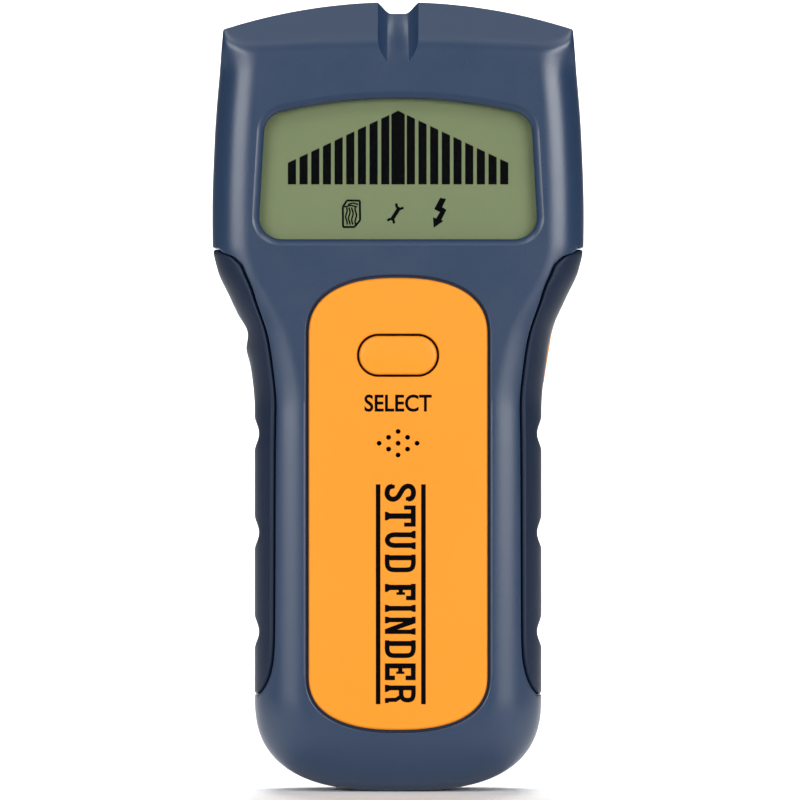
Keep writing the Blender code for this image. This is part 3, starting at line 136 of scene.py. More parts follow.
def quarter(share, depth):
    # quarter ellipse: all of the depth at the rim, none at the flat
    rest = 1 - np.clip(share, 0, 1)
    return depth * (1 - np.sqrt(1 - rest * rest))


def evenly(path, count):
    # the same polyline with points an equal length apart, measured on its first two columns
    run = np.concatenate([[0], np.cumsum(np.hypot(*np.diff(path[:, :2], axis=0).T))])
    at = np.linspace(0, run[-1], count)
    return np.stack([np.interp(at, run, column) for column in path.T], 1)


def bodyHalfOutline(insets, count, fine, fold=5.0):
    # right half of the body's outline from foot to top: columns rim x and z, the front flat's x and z,
    # and the x and z of the same outline moved in by the fold
    side, top, foot = insets
    turn = np.linspace(0, math.pi / 2, 400)
    across = np.sin(turn) ** (2 / body["tailPower"])
    down = np.cos(turn) ** (2 / body["tailPower"])
    flatW = gripHalf - body["gripShoulder"][0]
    flatH = tailZ - body["tailShoulder"]
    half, low = gripHalf - side, tailZ - foot
    columns = (half * across, tailZ - low * down, flatW * across, tailZ - flatH * down)
    tail = np.stack((*columns, (half - fold) * across, tailZ - (low - fold) * down), 1)
    edgeZ = cornerZ - top
    innerTop = (flatTopZ if fine else body["bandZ"] - 0.7) - top
    rounding = body["cornerRound"] if fine else 0.0
    z = np.linspace(tailZ, edgeZ - rounding, 900)
    innerZ = tailZ + (z - tailZ) * (innerTop - tailZ) / (edgeZ - tailZ)
    foldZ = tailZ + (z - tailZ) * (edgeZ - fold - tailZ) / (edgeZ - tailZ)
    columns = (bodyHalf(z) - side, z, bodyHalf(innerZ) - shoulderWidth(innerZ), innerZ)
    sides = np.stack((*columns, bodyHalf(foldZ) - side - fold, foldZ), 1)
    cornerX = bodyHalf(edgeZ) - side
    flatX = bodyHalf(innerTop) - shoulderWidth(innerTop)
    x = np.linspace(cornerX - rounding * 1.05, 0, 500)
    foldX = x * (cornerX - fold) / cornerX
    columns = (x, topArc(x) - top, flatX * x / cornerX, np.full_like(x, innerTop))
    roof = np.stack((*columns, foldX, topArc(foldX) - top - fold), 1)
    parts = [tail, sides[1:]]
    if fine:
        t = np.linspace(0, 1, 24)[1:-1, None]
        peak = np.array([cornerX, edgeZ])
        bend = (1 - t) ** 2 * sides[-1, :2] + 2 * t * (1 - t) * peak + t * t * roof[0, :2]
        parts.append(np.hstack([bend, (1 - t) * sides[-1, 2:] + t * roof[0, 2:]]))
    parts.append(roof)
    return evenly(np.concatenate(parts), count)


def mirrored(half):
    # the whole ring: the right half, then its mirror image back down the left side
    back = half[-2:0:-1].copy()
    back[..., 0] *= -1
    return np.concatenate([half, back])


def softMax(a, b, softness):
    # the larger of the two, with a parabola where they lie within the softness of each other
    near = np.clip(softness - np.abs(a - b), 0, None)
    return np.maximum(a, b) + near * near / (4 * softness)


def frontFall(x, z, insets, share, fine):
    # how far the front lies behind its flat: the rim's rounding or the sloping band, whichever is deeper
    side, top, _ = insets
    tail = quarter(share, body["gripShoulder"][1])
    reach = shoulderWidth(z) - side
    bandZ = body["bandZ"] - body["bandArch"] * (x / 33) ** 2 - top
    band = body["bandSlope"] * (z - bandZ)
    # the rim's rounding runs out where it meets the band
    t = np.clip((z - bandZ - body["cornerFade"][0]) / body["cornerFade"][1], 0, 1)
    depth = shoulderDepth(z) * (1 - body["cornerFade"][2] * t * t * (3 - 2 * t))
    above = quarter((bodyHalf(z) - side - np.abs(x)) / reach, depth)
    fall = np.where(z < tailZ, tail, above)
    if not fine:
        return np.maximum(fall, band)
    return np.where(share >= 1, 0, softMax(fall, band, body["creaseSoftness"]))


def frontRings(planeY, partingY, insets, count, turns, fine=True):
    # rings of the front half: the rim at the parting plane, then in along lines from rim to flat
    half = bodyHalfOutline(insets, count, fine)
    rings = [np.stack([half[:, 0], np.full(len(half), partingY), half[:, 1]], 1)]
    for turn in turns:
        share = 1 - math.sin(math.radians(turn))
        x = half[:, 0] + (half[:, 2] - half[:, 0]) * share
        z = half[:, 1] + (half[:, 3] - half[:, 1]) * share
        rings.append(np.stack([x, planeY + frontFall(x, z, insets, share, fine), z], 1))
    return np.stack([mirrored(ring) for ring in rings])


def backRings(planeY, partingY, insets, rounding, count, turns, fine=True):
    # rings of the rear half: straight sides, then a quarter circle onto the flat back
    half = bodyHalfOutline(insets, count, fine, rounding)
    rings = [np.stack([half[:, 0], np.full(count, partingY), half[:, 1]], 1)]
    for turn in turns:
        a = math.radians(turn)
        moved = half[:, :2] + (half[:, 4:] - half[:, :2]) * (1 - math.cos(a))
        y = planeY - rounding * (1 - math.sin(a))
        rings.append(np.stack([moved[:, 0], np.full(count, y), moved[:, 1]], 1))
    return np.stack([mirrored(ring) for ring in rings])


# mesh making
def putMesh(name, points, faces, smooth=35):
    mesh = bpy.data.meshes.new(name)
    mesh.from_pydata((np.asarray(points) * mm).tolist(), [], [list(map(int, f)) for f in faces])
    mesh.validate()
    tidy = bmesh.new()
    tidy.from_mesh(mesh)
    bmesh.ops.recalc_face_normals(tidy, faces=tidy.faces)
    tidy.to_mesh(mesh)
    tidy.free()
    if smooth:
        mesh.shade_smooth()
        mesh.set_sharp_from_angle(angle=math.radians(smooth))
    made = bpy.data.objects.new(name, mesh)
    bpy.context.scene.collection.objects.link(made)
    return made


def gridFaces(rows, columns, closedPath=False, start=0):
    # quads of a grid whose columns close on themselves
    i, j = np.meshgrid(np.arange(rows if closedPath else rows - 1), np.arange(columns), indexing="ij")
    a = i * columns + j
    b = i * columns + (j + 1) % columns
    c = (i + 1) % rows * columns + (j + 1) % columns
    d = (i + 1) % rows * columns + j
    return (np.stack([a, b, c, d], -1).reshape(-1, 4) + start).tolist()


def loft(name, rings, closedPath=False, smooth=35):
    # a skin over rings of points, capped at both ends unless the path closes on itself
    rings = np.asarray(rings, float)
    rows, columns = rings.shape[:2]
    faces = gridFaces(rows, columns, closedPath)
    if not closedPath:
        faces += [list(range(columns)), list(range((rows - 1) * columns, rows * columns))]
    return putMesh(name, rings.reshape(-1, 3), faces, smooth)


def lofts(name, many, smooth=35):
    # several capped skins in one mesh
    points, faces, start = [], [], 0
    for rings in many:
        rings = np.asarray(rings, float)
        rows, columns = rings.shape[:2]
        faces += gridFaces(rows, columns, start=start)
        faces += [list(range(start, start + columns))]
        faces += [list(range(start + (rows - 1) * columns, start + rows * columns))]
        points.append(rings.reshape(-1, 3))
        start += rows * columns
    return putMesh(name, np.concatenate(points), faces, smooth)


def boxRings(x0, x1, y0, y1, z0, z1):
    corners = np.array([(x0, z0), (x1, z0), (x1, z1), (x0, z1)], float)
    return [np.stack([corners[:, 0], np.full(4, y), corners[:, 1]], 1) for y in (y0, y1)]


def carried(outline, steps):
    # an outline function carried along Y: each step is how much the outline grows, and its y
    rings = []
    for grow, y in steps:
        flat = np.asarray(outline(grow), float)
        rings.append(np.stack([flat[:, 0], np.full(len(flat), y), flat[:, 1]], 1))
    return rings


def flare(planeY, inward, deep, radius, beyond=1.2):
    # steps of a cutter that leaves a rounded rim: straight, then a fillet that widens through the plane
    steps = [(0.0, planeY + inward * deep), (0.0, planeY + inward * radius)]
    for turn in (15, 30, 45, 60, 75):
        a = math.radians(turn)
        steps.append((radius * (1 - math.cos(a)), planeY + inward * radius * (1 - math.sin(a))))
    a = math.radians(75)
    reach = radius * beyond
    steps.append((steps[-1][0] + reach * math.sin(a), steps[-1][1] - inward * reach * math.cos(a)))
    steps.append((steps[-1][0], planeY - inward * (radius + 1.5)))
    return steps


def turned(centre, profile, sides, along="Y"):
    # a closed turned solid about a line along Y or X, from (radius, place) pairs
    turn = 2 * math.pi * (np.arange(sides) + 0.5) / sides
    rings = []
    for radius, place in profile:
        u, v = radius * np.cos(turn), radius * np.sin(turn)
        w = np.full(sides, float(place))
        if along == "Y":
            rings.append(np.stack([centre[0] + u, w, centre[1] + v], 1))
        else:
            rings.append(np.stack([w, centre[0] + u, centre[1] + v], 1))
    return rings


def roundedOutline(halfWidth, low, high, radius, count=10, cx=0.0):
    radius = max(radius, 0.02)
    parts = []
    centres = (
        (halfWidth - radius, low + radius, -90),
        (halfWidth - radius, high - radius, 0),
        (radius - halfWidth, high - radius, 90),
        (radius - halfWidth, low + radius, 180),
    )
    for x, z, start in centres:
        t = np.radians(np.linspace(start, start + 90, count + 1))
        parts.append(np.stack([cx + x + radius * np.cos(t), z + radius * np.sin(t)], 1))
    return np.concatenate(parts)


def growingBar(halfWidth, low, high, radius, count=8, cx=0.0, cornerGrows=True):
    # a rounded rectangle as a function of how much it has grown
    def outline(grow=0.0):
        corner = radius + grow if cornerGrows else radius
        return roundedOutline(halfWidth + grow, low - grow, high + grow, corner, count, cx)

    return outline


def shape(piece, *cuts):
    # Booleans in turn, each (operation, tool), then the result made the piece's own closed mesh
    for operation, tool in cuts:
        modifier = piece.modifiers.new(tool.name, "BOOLEAN")
        modifier.operation = operation
        modifier.object = tool
    bpy.context.view_layer.update()
    graph = bpy.context.evaluated_depsgraph_get()
    mesh = bpy.data.meshes.new_from_object(piece.evaluated_get(graph))
    piece.modifiers.clear()
    piece.data = mesh
    for _, tool in cuts:
        bpy.data.objects.remove(tool)
    tidy = bmesh.new()
    tidy.from_mesh(mesh)
    bmesh.ops.remove_doubles(tidy, verts=tidy.verts, dist=5e-7)
    bmesh.ops.dissolve_degenerate(tidy, dist=1e-6, edges=tidy.edges)
    bmesh.ops.delete(tidy, geom=[e for e in tidy.edges if e.is_wire], context="EDGES")
    openEdges = sum(len(e.link_faces) != 2 for e in tidy.edges)
    tidy.to_mesh(mesh)
    tidy.free()
    mesh.shade_smooth()
    mesh.set_sharp_from_angle(angle=math.radians(33))
    print("  shaped", piece.name, len(mesh.polygons), "faces,", openEdges, "open edges")
    assert len(mesh.polygons) > 20 and not openEdges, piece.name
    return piece


def evenNormals(piece):
    # large flats keep their own normal where a fine fillet meets them
    modifier = piece.modifiers.new("evenNormals", "WEIGHTED_NORMAL")
    modifier.keep_sharp = True
    modifier.weight = 90
    return piece


pieces = {}


def finishPiece(piece, bodyName, slotName, *replaced):
    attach(piece, bodyName)
    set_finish(piece, slotName)
    if replaced:
        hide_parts(*replaced)
    pieces[piece.name] = piece


# outlines
panel = {
    "half": 18.6,
    "low": 13.2,
    "high": 107.3,
    "topEnd": 12.0,
    "footEnd": 11.4,
    "power": 2.42,
    "y": -13.8,
    "thick": 1.6,
    "gap": 0.5,
}
select = {"z": 91.2, "half": 8.1, "tall": 4.02, "proud": 0.7, "gap": 0.45, "fillet": 0.6, "crown": 0.12}
power = {"z": 91.8, "half": 3.2, "tall": 7.0, "proud": 0.22, "flange": 0.9, "fillet": 0.5, "crown": 0.12}
display = {
    "half": 28.9,
    "topHalf": 27.9,
    "foot": 115.4,
    "sideTop": 142.1,
    "rise": 2.65,
    "corner": 4.6,
    "recess": 0.9,
}
grille = {"z": 72.9, "radius": 0.5, "across": 3.95, "up": 2.45}


def panelOutline(grow=0.0, count=60):
    # straight sides between two superellipse ends
    half = panel["half"] + grow
    topEnd, footEnd = panel["topEnd"], panel["footEnd"]
    parts = []
    for turn, end, middle in ((1, topEnd, panel["high"] - topEnd), (-1, footEnd, panel["low"] + footEnd)):
        a = np.linspace(math.pi / 2, -math.pi / 2, count + 1)
        across = np.abs(np.sin(a)) ** (2 / panel["power"]) * np.sign(a) * turn
        up = np.abs(np.cos(a)) ** (2 / panel["power"])
        parts.append(np.stack([half * across, middle + turn * (end + grow) * up], 1))
    return np.concatenate(parts)


def displayOutline(grow=0.0, count=14):
    # straight foot, sides that lean in, arched top
    foot, sideTop = display["foot"] - grow, display["sideTop"] + grow
    radius = max(display["corner"] + grow, 0.3)
    half, topHalf = display["half"] + grow, display["topHalf"] + grow
    low = np.radians(np.linspace(-90, 0, count + 1))
    high = np.radians(np.linspace(0, 78, count + 1))
    right = [
        np.stack([half - radius + radius * np.cos(low), foot + radius + radius * np.sin(low)], 1),
        np.stack([topHalf - radius + radius * np.cos(high), sideTop - radius + radius * np.sin(high)], 1),
    ]
    x0, z0 = right[-1][-1]
    x = np.linspace(x0, 0, 18)[1:]
    right.append(np.stack([x, z0 + (display["rise"] + sideTop - z0) * (1 - (x / x0) ** 2)], 1))
    right = np.concatenate(right)
    left = right[-2::-1].copy()
    left[:, 0] *= -1
    return np.concatenate([right, left])


def selectOutline(grow=0.0):
    tall = select["tall"] + grow
    return roundedOutline(select["half"] + grow, select["z"] - tall, select["z"] + tall, tall - 0.01, 14)


def powerOutline(grow=0.0):
    half, tall = power["half"] + grow, power["tall"] + grow
    return roundedOutline(half, power["z"] - tall, power["z"] + tall, half - 0.01, 14)


def grilleSpots():
    across, up = grille["across"] / 2, grille["up"]
    return [((i - j) * across, grille["z"] + (i + j) * up / 2) for i in (-1, 0, 1) for j in (-1, 0, 1)]


def holeOutline(x, z, radius, sides=20):
    def outline(grow=0.0):
        t = 2 * math.pi * (np.arange(sides) + 0.5) / sides
        return np.stack([x + (radius + grow) * np.cos(t), z + (radius + grow) * np.sin(t)], 1)

    return outline


# grips
grip = {
    "thick": 1.6,
    "gap": 0.3,
    "edge": 0.8,
    "endRound": 0.7,
    "scallopHalf": 3.7,
    "scallopDepth": 1.0,
    "pitch": 20.7,
    "first": 12.8,
    "thumbZ": 96.25,
    "thumbDepth": 0.68,
    "restZ": 92.2,
    "restHeight": 0.42,
    "seam": 0.5,
}


def scallops(z, withThumb):
    # depth of the finger scallops at each height: shallow arcs with soft ends
    spots = [(tailZ + grip["first"] + i * grip["pitch"], grip["scallopDepth"]) for i in range(3)]
    if withThumb:
        spots.append((grip["thumbZ"], grip["thumbDepth"]))
    total = np.zeros_like(z)
    for centre, depth in spots:
        t = np.clip(np.abs(z - centre) / grip["scallopHalf"], 0, 1)
        total += depth * (np.cos(t * math.pi / 2) ** 2 * 0.55 + (1 - t * t) ** 1.5 * 0.45)
    return total


def gripFrame(z, grow):
    # where a grip's section starts and ends on the body's skin, as angles on its two roundings
    reach = shoulderWidth(z)
    inside = np.minimum(gripReach(z) + grow, 0.8 * reach)
    start = np.arcsin(np.maximum(1 - inside / reach, 0))
    finish = np.arccos(1 - np.minimum(0.75 * inside, 0.8 * body["backRound"]) / body["backRound"])
    return start, finish


def skinPoint(z, where, offset):
    # a point of the body's section at height z: where runs 0 to 1 over the front rounding, 1 to 2 down
    # the straight side and 2 to 3 round the back, and offset stands off the skin
    half, reach, depth, back = bodyHalf(z), shoulderWidth(z), shoulderDepth(z), body["backRound"]
    a = np.clip(where, 0, 1) * math.pi / 2
    b = np.clip(where - 2, 0, 1) * math.pi / 2
    side = np.clip(where - 1, 0, 1)
    nx, ny = np.sin(a) / reach, -np.cos(a) / depth
    size = np.hypot(nx, ny)
    nx, ny = nx / size, ny / size
    nx, ny = np.where(where > 2, np.cos(b), nx), np.where(where > 2, np.sin(b), ny)
    x = half - reach + reach * np.sin(a)
    y = faceY + depth - depth * np.cos(a)
    y = y + side * (backY - back - faceY - depth)
    x, y = x - back * (1 - np.cos(b)), y + back * np.sin(b)
    return x + nx * offset, y + ny * offset


def gripRings(side, z, steps, grow, withThumb, ends=None):
    # sections at heights z; steps are (end, run, offset, outer): end 0 is the front edge, 1 the back one and
    # 2 neither, and run is the point's distance along the skin from that edge, or its share of the way for 2
    rings = []
    start, finish = gripFrame(z, grow)
    reach, depth, back = shoulderWidth(z), shoulderDepth(z), body["backRound"]
    speed0 = np.hypot(reach * np.cos(start), depth * np.sin(start)) * math.pi / 2
    speed1 = back * math.pi / 2
    first, last = start / (math.pi / 2), 2 + finish / (math.pi / 2)
    rest = grip["restHeight"] * np.exp(-(((z - grip["restZ"]) / 2.3) ** 2)) if withThumb else 0 * z
    limit = bodyHalf(z) + rest - scallops(z, withThumb)
    drop = 0 if ends is None else ends
    for end, run, offset, outer in steps:
        if end == 0:
            where = first + run / speed0
        elif end == 1:
            where = last - run / speed1
        else:
            where = first + (last - first) * run
        x, y = skinPoint(z, where, offset - (drop if outer else 0))
        if outer:
            x = x + rest * np.clip(where, 0, 1) ** 3 * np.clip(3 - where, 0, 1)
            x = 0.5 * (x + limit - drop - np.sqrt((x - limit + drop) ** 2 + 0.05**2))
        rings.append(np.stack([side * x, y, z], 1))
    return np.stack(rings, 1)


def gripSteps(count=44):
    # closed section: rounded front edge, outer skin, rounded back edge, then the inner skin back again
    r, steps = grip["edge"], []
    turns = np.radians(np.linspace(0, 90, 7))
    for a in turns:
        steps.append((0, r * (1 - math.cos(a)), -r * (1 - math.sin(a)), True))
    for share in np.linspace(0.035, 0.965, count):
        steps.append((2, share, 0.0, True))
    for a in turns[::-1]:
        steps.append((1, r * (1 - math.cos(a)), -r * (1 - math.sin(a)), True))
    for share in np.linspace(1, 0, 16):
        steps.append((2, share, -grip["thick"], False))
    return steps


def seatSteps(count=24):
    # the cutter for a grip's seat: its edges flare where they leave the skin, which rounds the shell's edge
    r, deep = 0.45, grip["thick"] + grip["gap"]
    edge = [(0.0, -deep), (0.0, -r)]
    for turn in (20, 40, 60, 75):
        a = math.radians(turn)
        edge.append((-r * (1 - math.cos(a)), -r * (1 - math.sin(a))))
    edge.append((edge[-1][0] - 1.1, edge[-1][1] + 0.3))
    edge.append((edge[-1][0], 3.0))
    steps = [(0, run, offset, False) for run, offset in edge]
    steps += [(2, share, 3.0, False) for share in np.linspace(0.1, 0.9, count)]
    steps += [(1, run, offset, False) for run, offset in reversed(edge)]
    steps += [(2, share, -deep, False) for share in np.linspace(0.97, 0.03, 14)]
    return steps


def endRounding(z, radius):
    # how far a grip's skin sinks near its two ends
    low, high = z[0], z[-1]
    inside = np.clip(np.minimum(z - low, high - z), 0, radius)
    return radius - np.sqrt(radius**2 - (radius - inside) ** 2)


def gripHeights():
    # heights of the sections, close together at the two rounded ends
    low, high = gripFoot + grip["gap"], gripTop - grip["gap"]
    ends = grip["endRound"] * (1 - np.cos(np.linspace(0, math.pi / 2, 7)[:-1]))
    start = grip["endRound"] + 0.22
    middle = np.arange(low + start, high - start, 0.4)
    return np.concatenate([low + ends, middle, (high - ends)[::-1]])


def gripSeats(name):
    z = np.concatenate([[gripFoot - 0.15], np.linspace(gripFoot + 0.5, gripTop - 0.5, 150), [gripTop + 0.15]])
    rings = [gripRings(side, z, seatSteps(), grip["seam"], False) for side in (-1, 1)]
    return [loft(f"{name}{i}", r) for i, r in enumerate(rings)]


# cutters shared by the shells
# radii of the pillars and holes for the case screws, and of the posts and holes for the board screws
fixings = {
    "pillar": 3.1,
    "pillarHole": 1.55,
    "post": 2.0,
    "postHole": 1.15,
    "rearBoss": 3.7,
    "head": 2.9,
    "shank": 1.65,
}
notch = {"half": 4.6, "floorHalf": 1.4, "depth": 2.4, "trough": 2.2, "troughHalf": 4.25, "power": 2.5}
screwSpots = [(s * x, z) for x, z in ((30.3, 150.7), (21.45, 14.6)) for s in (-1, 1)]


def notchTool(name):
    # flared sides, then a quarter wave down to a flat floor
    top = body["length"]
    t = np.linspace(0, 1, 12)
    x = notch["floorHalf"] + (notch["half"] - notch["floorHalf"]) * (1 - t)
    z = top - notch["depth"] * (0.5 - 0.5 * np.cos(t * math.pi)) ** 0.85
    x[0], z[0] = notch["half"] + 0.9, top + 0.9
    right = np.stack([x, z], 1)
    left = right[::-1].copy()
    left[:, 0] *= -1
    outline = np.concatenate([right, left])
    return loft(name, carried(lambda grow: outline, ((0, faceY - 3), (0, backY + 3))))


def troughTool():
    # the groove's section, depth * (1 - |x / half| ** power), carried along the slope of the band
    t = np.linspace(1.12, -1.12, 61)
    deep = notch["trough"] * (1 - np.abs(t) ** notch["power"])
    deep[0], deep[-1] = deep[1], deep[-2]
    x = np.concatenate([t * notch["troughHalf"], [-notch["troughHalf"] * 1.12, notch["troughHalf"] * 1.12]])
    off = np.concatenate([deep, [-9.0, -9.0]])
    rings = []
    for along in (-14.0, 14.0):
        z = np.full(len(x), body["bandZ"] + along)
        rings.append(np.stack([x, faceY + body["bandSlope"] * along + off, z], 1))
    return loft("trough", rings)


def powerTool(name):
    # the power button's hole, wider behind the wall for its flange
    rings = []
    behind = 0.2 - body["sideInset"]
    steps = [(1.4, None), (1.4, behind), (0.3, behind), (0.3, -0.35), (0.42, -0.12), (0.75, 0.1), (0.75, 6.0)]
    for grow, place in steps:
        yz = powerOutline(grow)
        x = np.full(len(yz), 14.0) if place is None else bodyHalf(yz[:, 1]) + place
        rings.append(np.stack([x, yz[:, 0], yz[:, 1]], 1))
    return loft(name, rings)


insets = (body["sideInset"], body["topWall"], body["wall"])
fineTurns = np.linspace(90, 0, 25)

# front shell
postSpots = [(s * x, z) for x, z in ((17.0, 151.4), (24.5, 110.0), (20.25, 76.9)) for s in (-1, 1)]


def makeFrontShell():
    shell = loft("frontShell", frontRings(faceY, -0.15, (0, 0, 0), 440, fineTurns))
    cavity = loft("frontCavity", frontRings(faceY + body["wall"], 2.0, insets, 90, (90, 60, 30, 0), False))
    pillars = [turned(p, ((fixings["pillar"], faceY - 2), (fixings["pillar"], -0.3)), 32) for p in screwSpots]
    pillars += [turned(p, ((fixings["post"], faceY - 2), (fixings["post"], -3.7)), 24) for p in postSpots]
    shape(cavity, ("DIFFERENCE", lofts("pillars", pillars)))
    seat = loft("panelSeat", carried(lambda g: panelOutline(panel["gap"] + g), flare(faceY, 1, 1.3, 0.4)))
    rim = ((0, 6), (0, 1.05), (0.12, 0.8), (0.45, 0.55), (0.95, 0.25), (1.35, 0.07), (2.0, -0.12), (2.0, -2))
    holes = [carried(displayOutline, [(grow, faceY + deep) for grow, deep in rim])]
    holes.append(carried(lambda g: selectOutline(1.6), ((0, faceY - 4), (0, faceY + 5))))
    holes += [carried(holeOutline(x, z, 0.85), ((0, faceY - 4), (0, faceY + 5))) for x, z in grilleSpots()]
    r = fixings["pillarHole"]
    holes += [turned(p, ((r, -4.2), (r, 4.0)), 20) for p in screwSpots]
    r = fixings["postHole"]
    holes += [turned(p, ((r, -9.0), (r, 4.0)), 16) for p in postSpots]
    cuts = [cavity, seat, lofts("frontHoles", holes), *gripSeats("frontSeat"), notchTool("frontNotch")]
    cuts += [troughTool(), powerTool("frontPower")]
    shape(shell, *[("DIFFERENCE", tool) for tool in cuts])
    finishPiece(evenNormals(shell), "casing", "casing", "front_shell")


# rear shell
rear = {"bayHalf": 13.85, "bayLow": 10.4, "bayTop": 62.7, "bayFloorY": -7.2, "bayWall": 1.2, "lip": 1.4}
door = {
    "half": 17.0,
    "foot": 9.0,
    "top": 63.1,
    "corner": 1.8,
    "barrel": 1.8,
    "pin": 0.8,
    "pinReach": 1.6,
    "gap": 0.3,
}
glides = [(23.8, 153.2, 156.8, 0.0), (1.5, 24.0, 58.7, -21.43), (1.5, 24.0, 58.7, 21.43)]
label = {"half": 22.0, "low": 87.5, "high": 113.5}


def doorOutline(grow=0.0):
    half, low, r = door["half"] + grow, door["foot"] - grow, door["corner"] + grow
    outline = roundedOutline(half, low, low + 4 * r, r, 8)
    top = door["top"] + door["gap"]
    return np.concatenate([outline[:9], [(half, top), (-half, top)], outline[-9:]])


def makeRearShell():
    turns = np.linspace(0, 90, 14)
    shell = loft("rearShell", backRings(backY, 0.15, (0, 0, 0), body["backRound"], 330, turns))
    thick = tuple(i + rear["lip"] + 0.3 for i in insets)
    mouth = loft("rearMouth", backRings(3.0, -2.0, thick, 0.4, 90, (0, 90), False))
    cavity = loft("rearCavity", backRings(backY - body["wall"], 2.0, insets, 3.0, 90, (0, 30, 60, 90), False))
    r = fixings["rearBoss"]
    bosses = lofts("bosses", [turned(p, ((r, 0.3), (r, backY + 2)), 32) for p in screwSpots])
    shape(mouth, ("UNION", cavity), ("DIFFERENCE", bosses))
    outer = bodyHalfOutline(tuple(i + 0.3 for i in insets), 200, False)[:, :2]
    inner = bodyHalfOutline(tuple(i + rear["lip"] for i in insets), 200, False)[:, :2]
    rim = loft("lipRim", carried(lambda g: mirrored(outer), ((0, -1.2), (0, 1.2))))
    core = loft("lipCore", carried(lambda g: mirrored(inner), ((0, -3), (0, 4))))
    relief = lofts("lipRelief", [turned(p, ((4.2, -3), (4.2, 3)), 32) for p in screwSpots])
    shape(rim, ("DIFFERENCE", core), ("DIFFERENCE", relief))
    half, low, high = rear["bayHalf"], rear["bayLow"], rear["bayTop"]
    wall, floorY, innerY = rear["bayWall"], rear["bayFloorY"], backY - body["wall"]
    outside = half + wall
    block = loft("bayBlock", boxRings(-outside, outside, floorY - wall, backY - 1, low - wall, high + wall))
    edge = door["half"] + door["gap"] + 2.6
    ledgeBox = boxRings(-edge, edge, innerY - 3.7, backY - 1.2, door["foot"] - 1.8, door["top"] + 2.6)
    ledge = loft("ledge", ledgeBox)
    shape(shell, ("DIFFERENCE", mouth), ("UNION", rim), ("UNION", block), ("UNION", ledge))
    hollow = loft("hollow", boxRings(-half, half, floorY, innerY, low, high))
    opening = loft("opening", carried(lambda g: doorOutline(door["gap"] + g), flare(backY, -1, 2.3, 0.25)))
    hingeY, hingeZ = backY - door["barrel"], door["top"] - door["barrel"]
    swing, wide = door["barrel"] + door["gap"], door["half"] + door["gap"]
    hinge = loft("hinge", boxRings(-wide, wide, hingeY - swing, backY + 1, hingeZ - swing, hingeZ + swing))
    reach, r = door["half"] + door["pinReach"] + 0.3, door["pin"] + 0.3
    sockets = loft("sockets", turned((hingeY, hingeZ), ((r, -reach), (r, reach)), 24, "X"))
    catch = loft("catch", boxRings(-5.4, 5.4, innerY - 3.3, innerY, door["foot"] - 0.1, door["foot"] + 2))
    leads = loft("leads", boxRings(-4.5, 4.5, -1, 6, high - 1, high + wall + 1))
    sink = flare(backY, -1, 3.2, 0.35)
    details = [carried(holeOutline(x, z, fixings["head"], 40), sink) for x, z in screwSpots]
    recess = ((0, backY - 0.55), (0, backY - 0.12), (0.14, backY + 0.2), (0.14, backY + 1))
    for halfWidth, z0, z1, cx in glides:
        outline = growingBar(halfWidth + 0.2, z0 - 0.2, z1 + 0.2, 1.3, 8, cx, False)
        details.append(carried(outline, recess))
    sunk = ((0, backY - 0.27), (0, backY - 0.1), (0.08, backY - 0.02), (0.3, backY + 0.06), (0.3, backY + 1))
    outline = growingBar(label["half"] + 0.2, label["low"] - 0.2, label["high"] + 0.2, 2.2, 10, 0.0, False)
    details.append(carried(outline, sunk))
    r = fixings["shank"]
    shanks = lofts("shanks", [turned(p, ((r, -3), (r, backY + 2)), 24) for p in screwSpots])
    angle = np.linspace(1, 179, 40)
    ball = [(7.5 * math.sin(math.radians(a)), backY + 6.2 - 7.5 * math.cos(math.radians(a))) for a in angle]
    scoop = loft("scoop", turned((0, door["foot"] + 0.5), ball, 64))
    cuts = [hollow, opening, hinge, sockets, catch, lofts("details", details), shanks, scoop, leads]
    cuts += [*gripSeats("rearSeat"), notchTool("rearNotch"), powerTool("rearPower")]
    shape(shell, *[("DIFFERENCE", tool) for tool in cuts])
    finishPiece(evenNormals(shell), "casing", "casing", "rear_shell")


# grips, panel, buttons
def makeGrips():
    z = gripHeights()
    ends = endRounding(z, grip["endRound"])
    for name, side, node in (("leftGrip", -1, "left_grip"), ("rightGrip", 1, "right_grip")):
        made = loft(name, gripRings(side, z, gripSteps(), 0, side < 0, ends))
        if side > 0:
            shape(made, ("DIFFERENCE", powerTool("gripPower")))
        finishPiece(made, "casing", "grip", node)


def makePanel():
    top, back = panel["y"], panel["y"] + panel["thick"]
    steps = [(0, back), (0, top + 0.6)]
    for turn in (22, 45, 67, 90):
        a = math.radians(turn)
        steps.append((-0.6 * (1 - math.cos(a)), top + 0.6 * (1 - math.sin(a))))
    made = loft("facePanel", carried(panelOutline, steps))
    holes = [carried(lambda g: selectOutline(select["gap"] + g), flare(top, 1, 2.6, 0.3))]
    edge = flare(top, 1, 2.6, 0.14)
    holes += [carried(holeOutline(x, z, grille["radius"]), edge) for x, z in grilleSpots()]
    shape(made, ("DIFFERENCE", lofts("panelHoles", holes)))
    finishPiece(evenNormals(made), "casing", "panel", "face_panel")


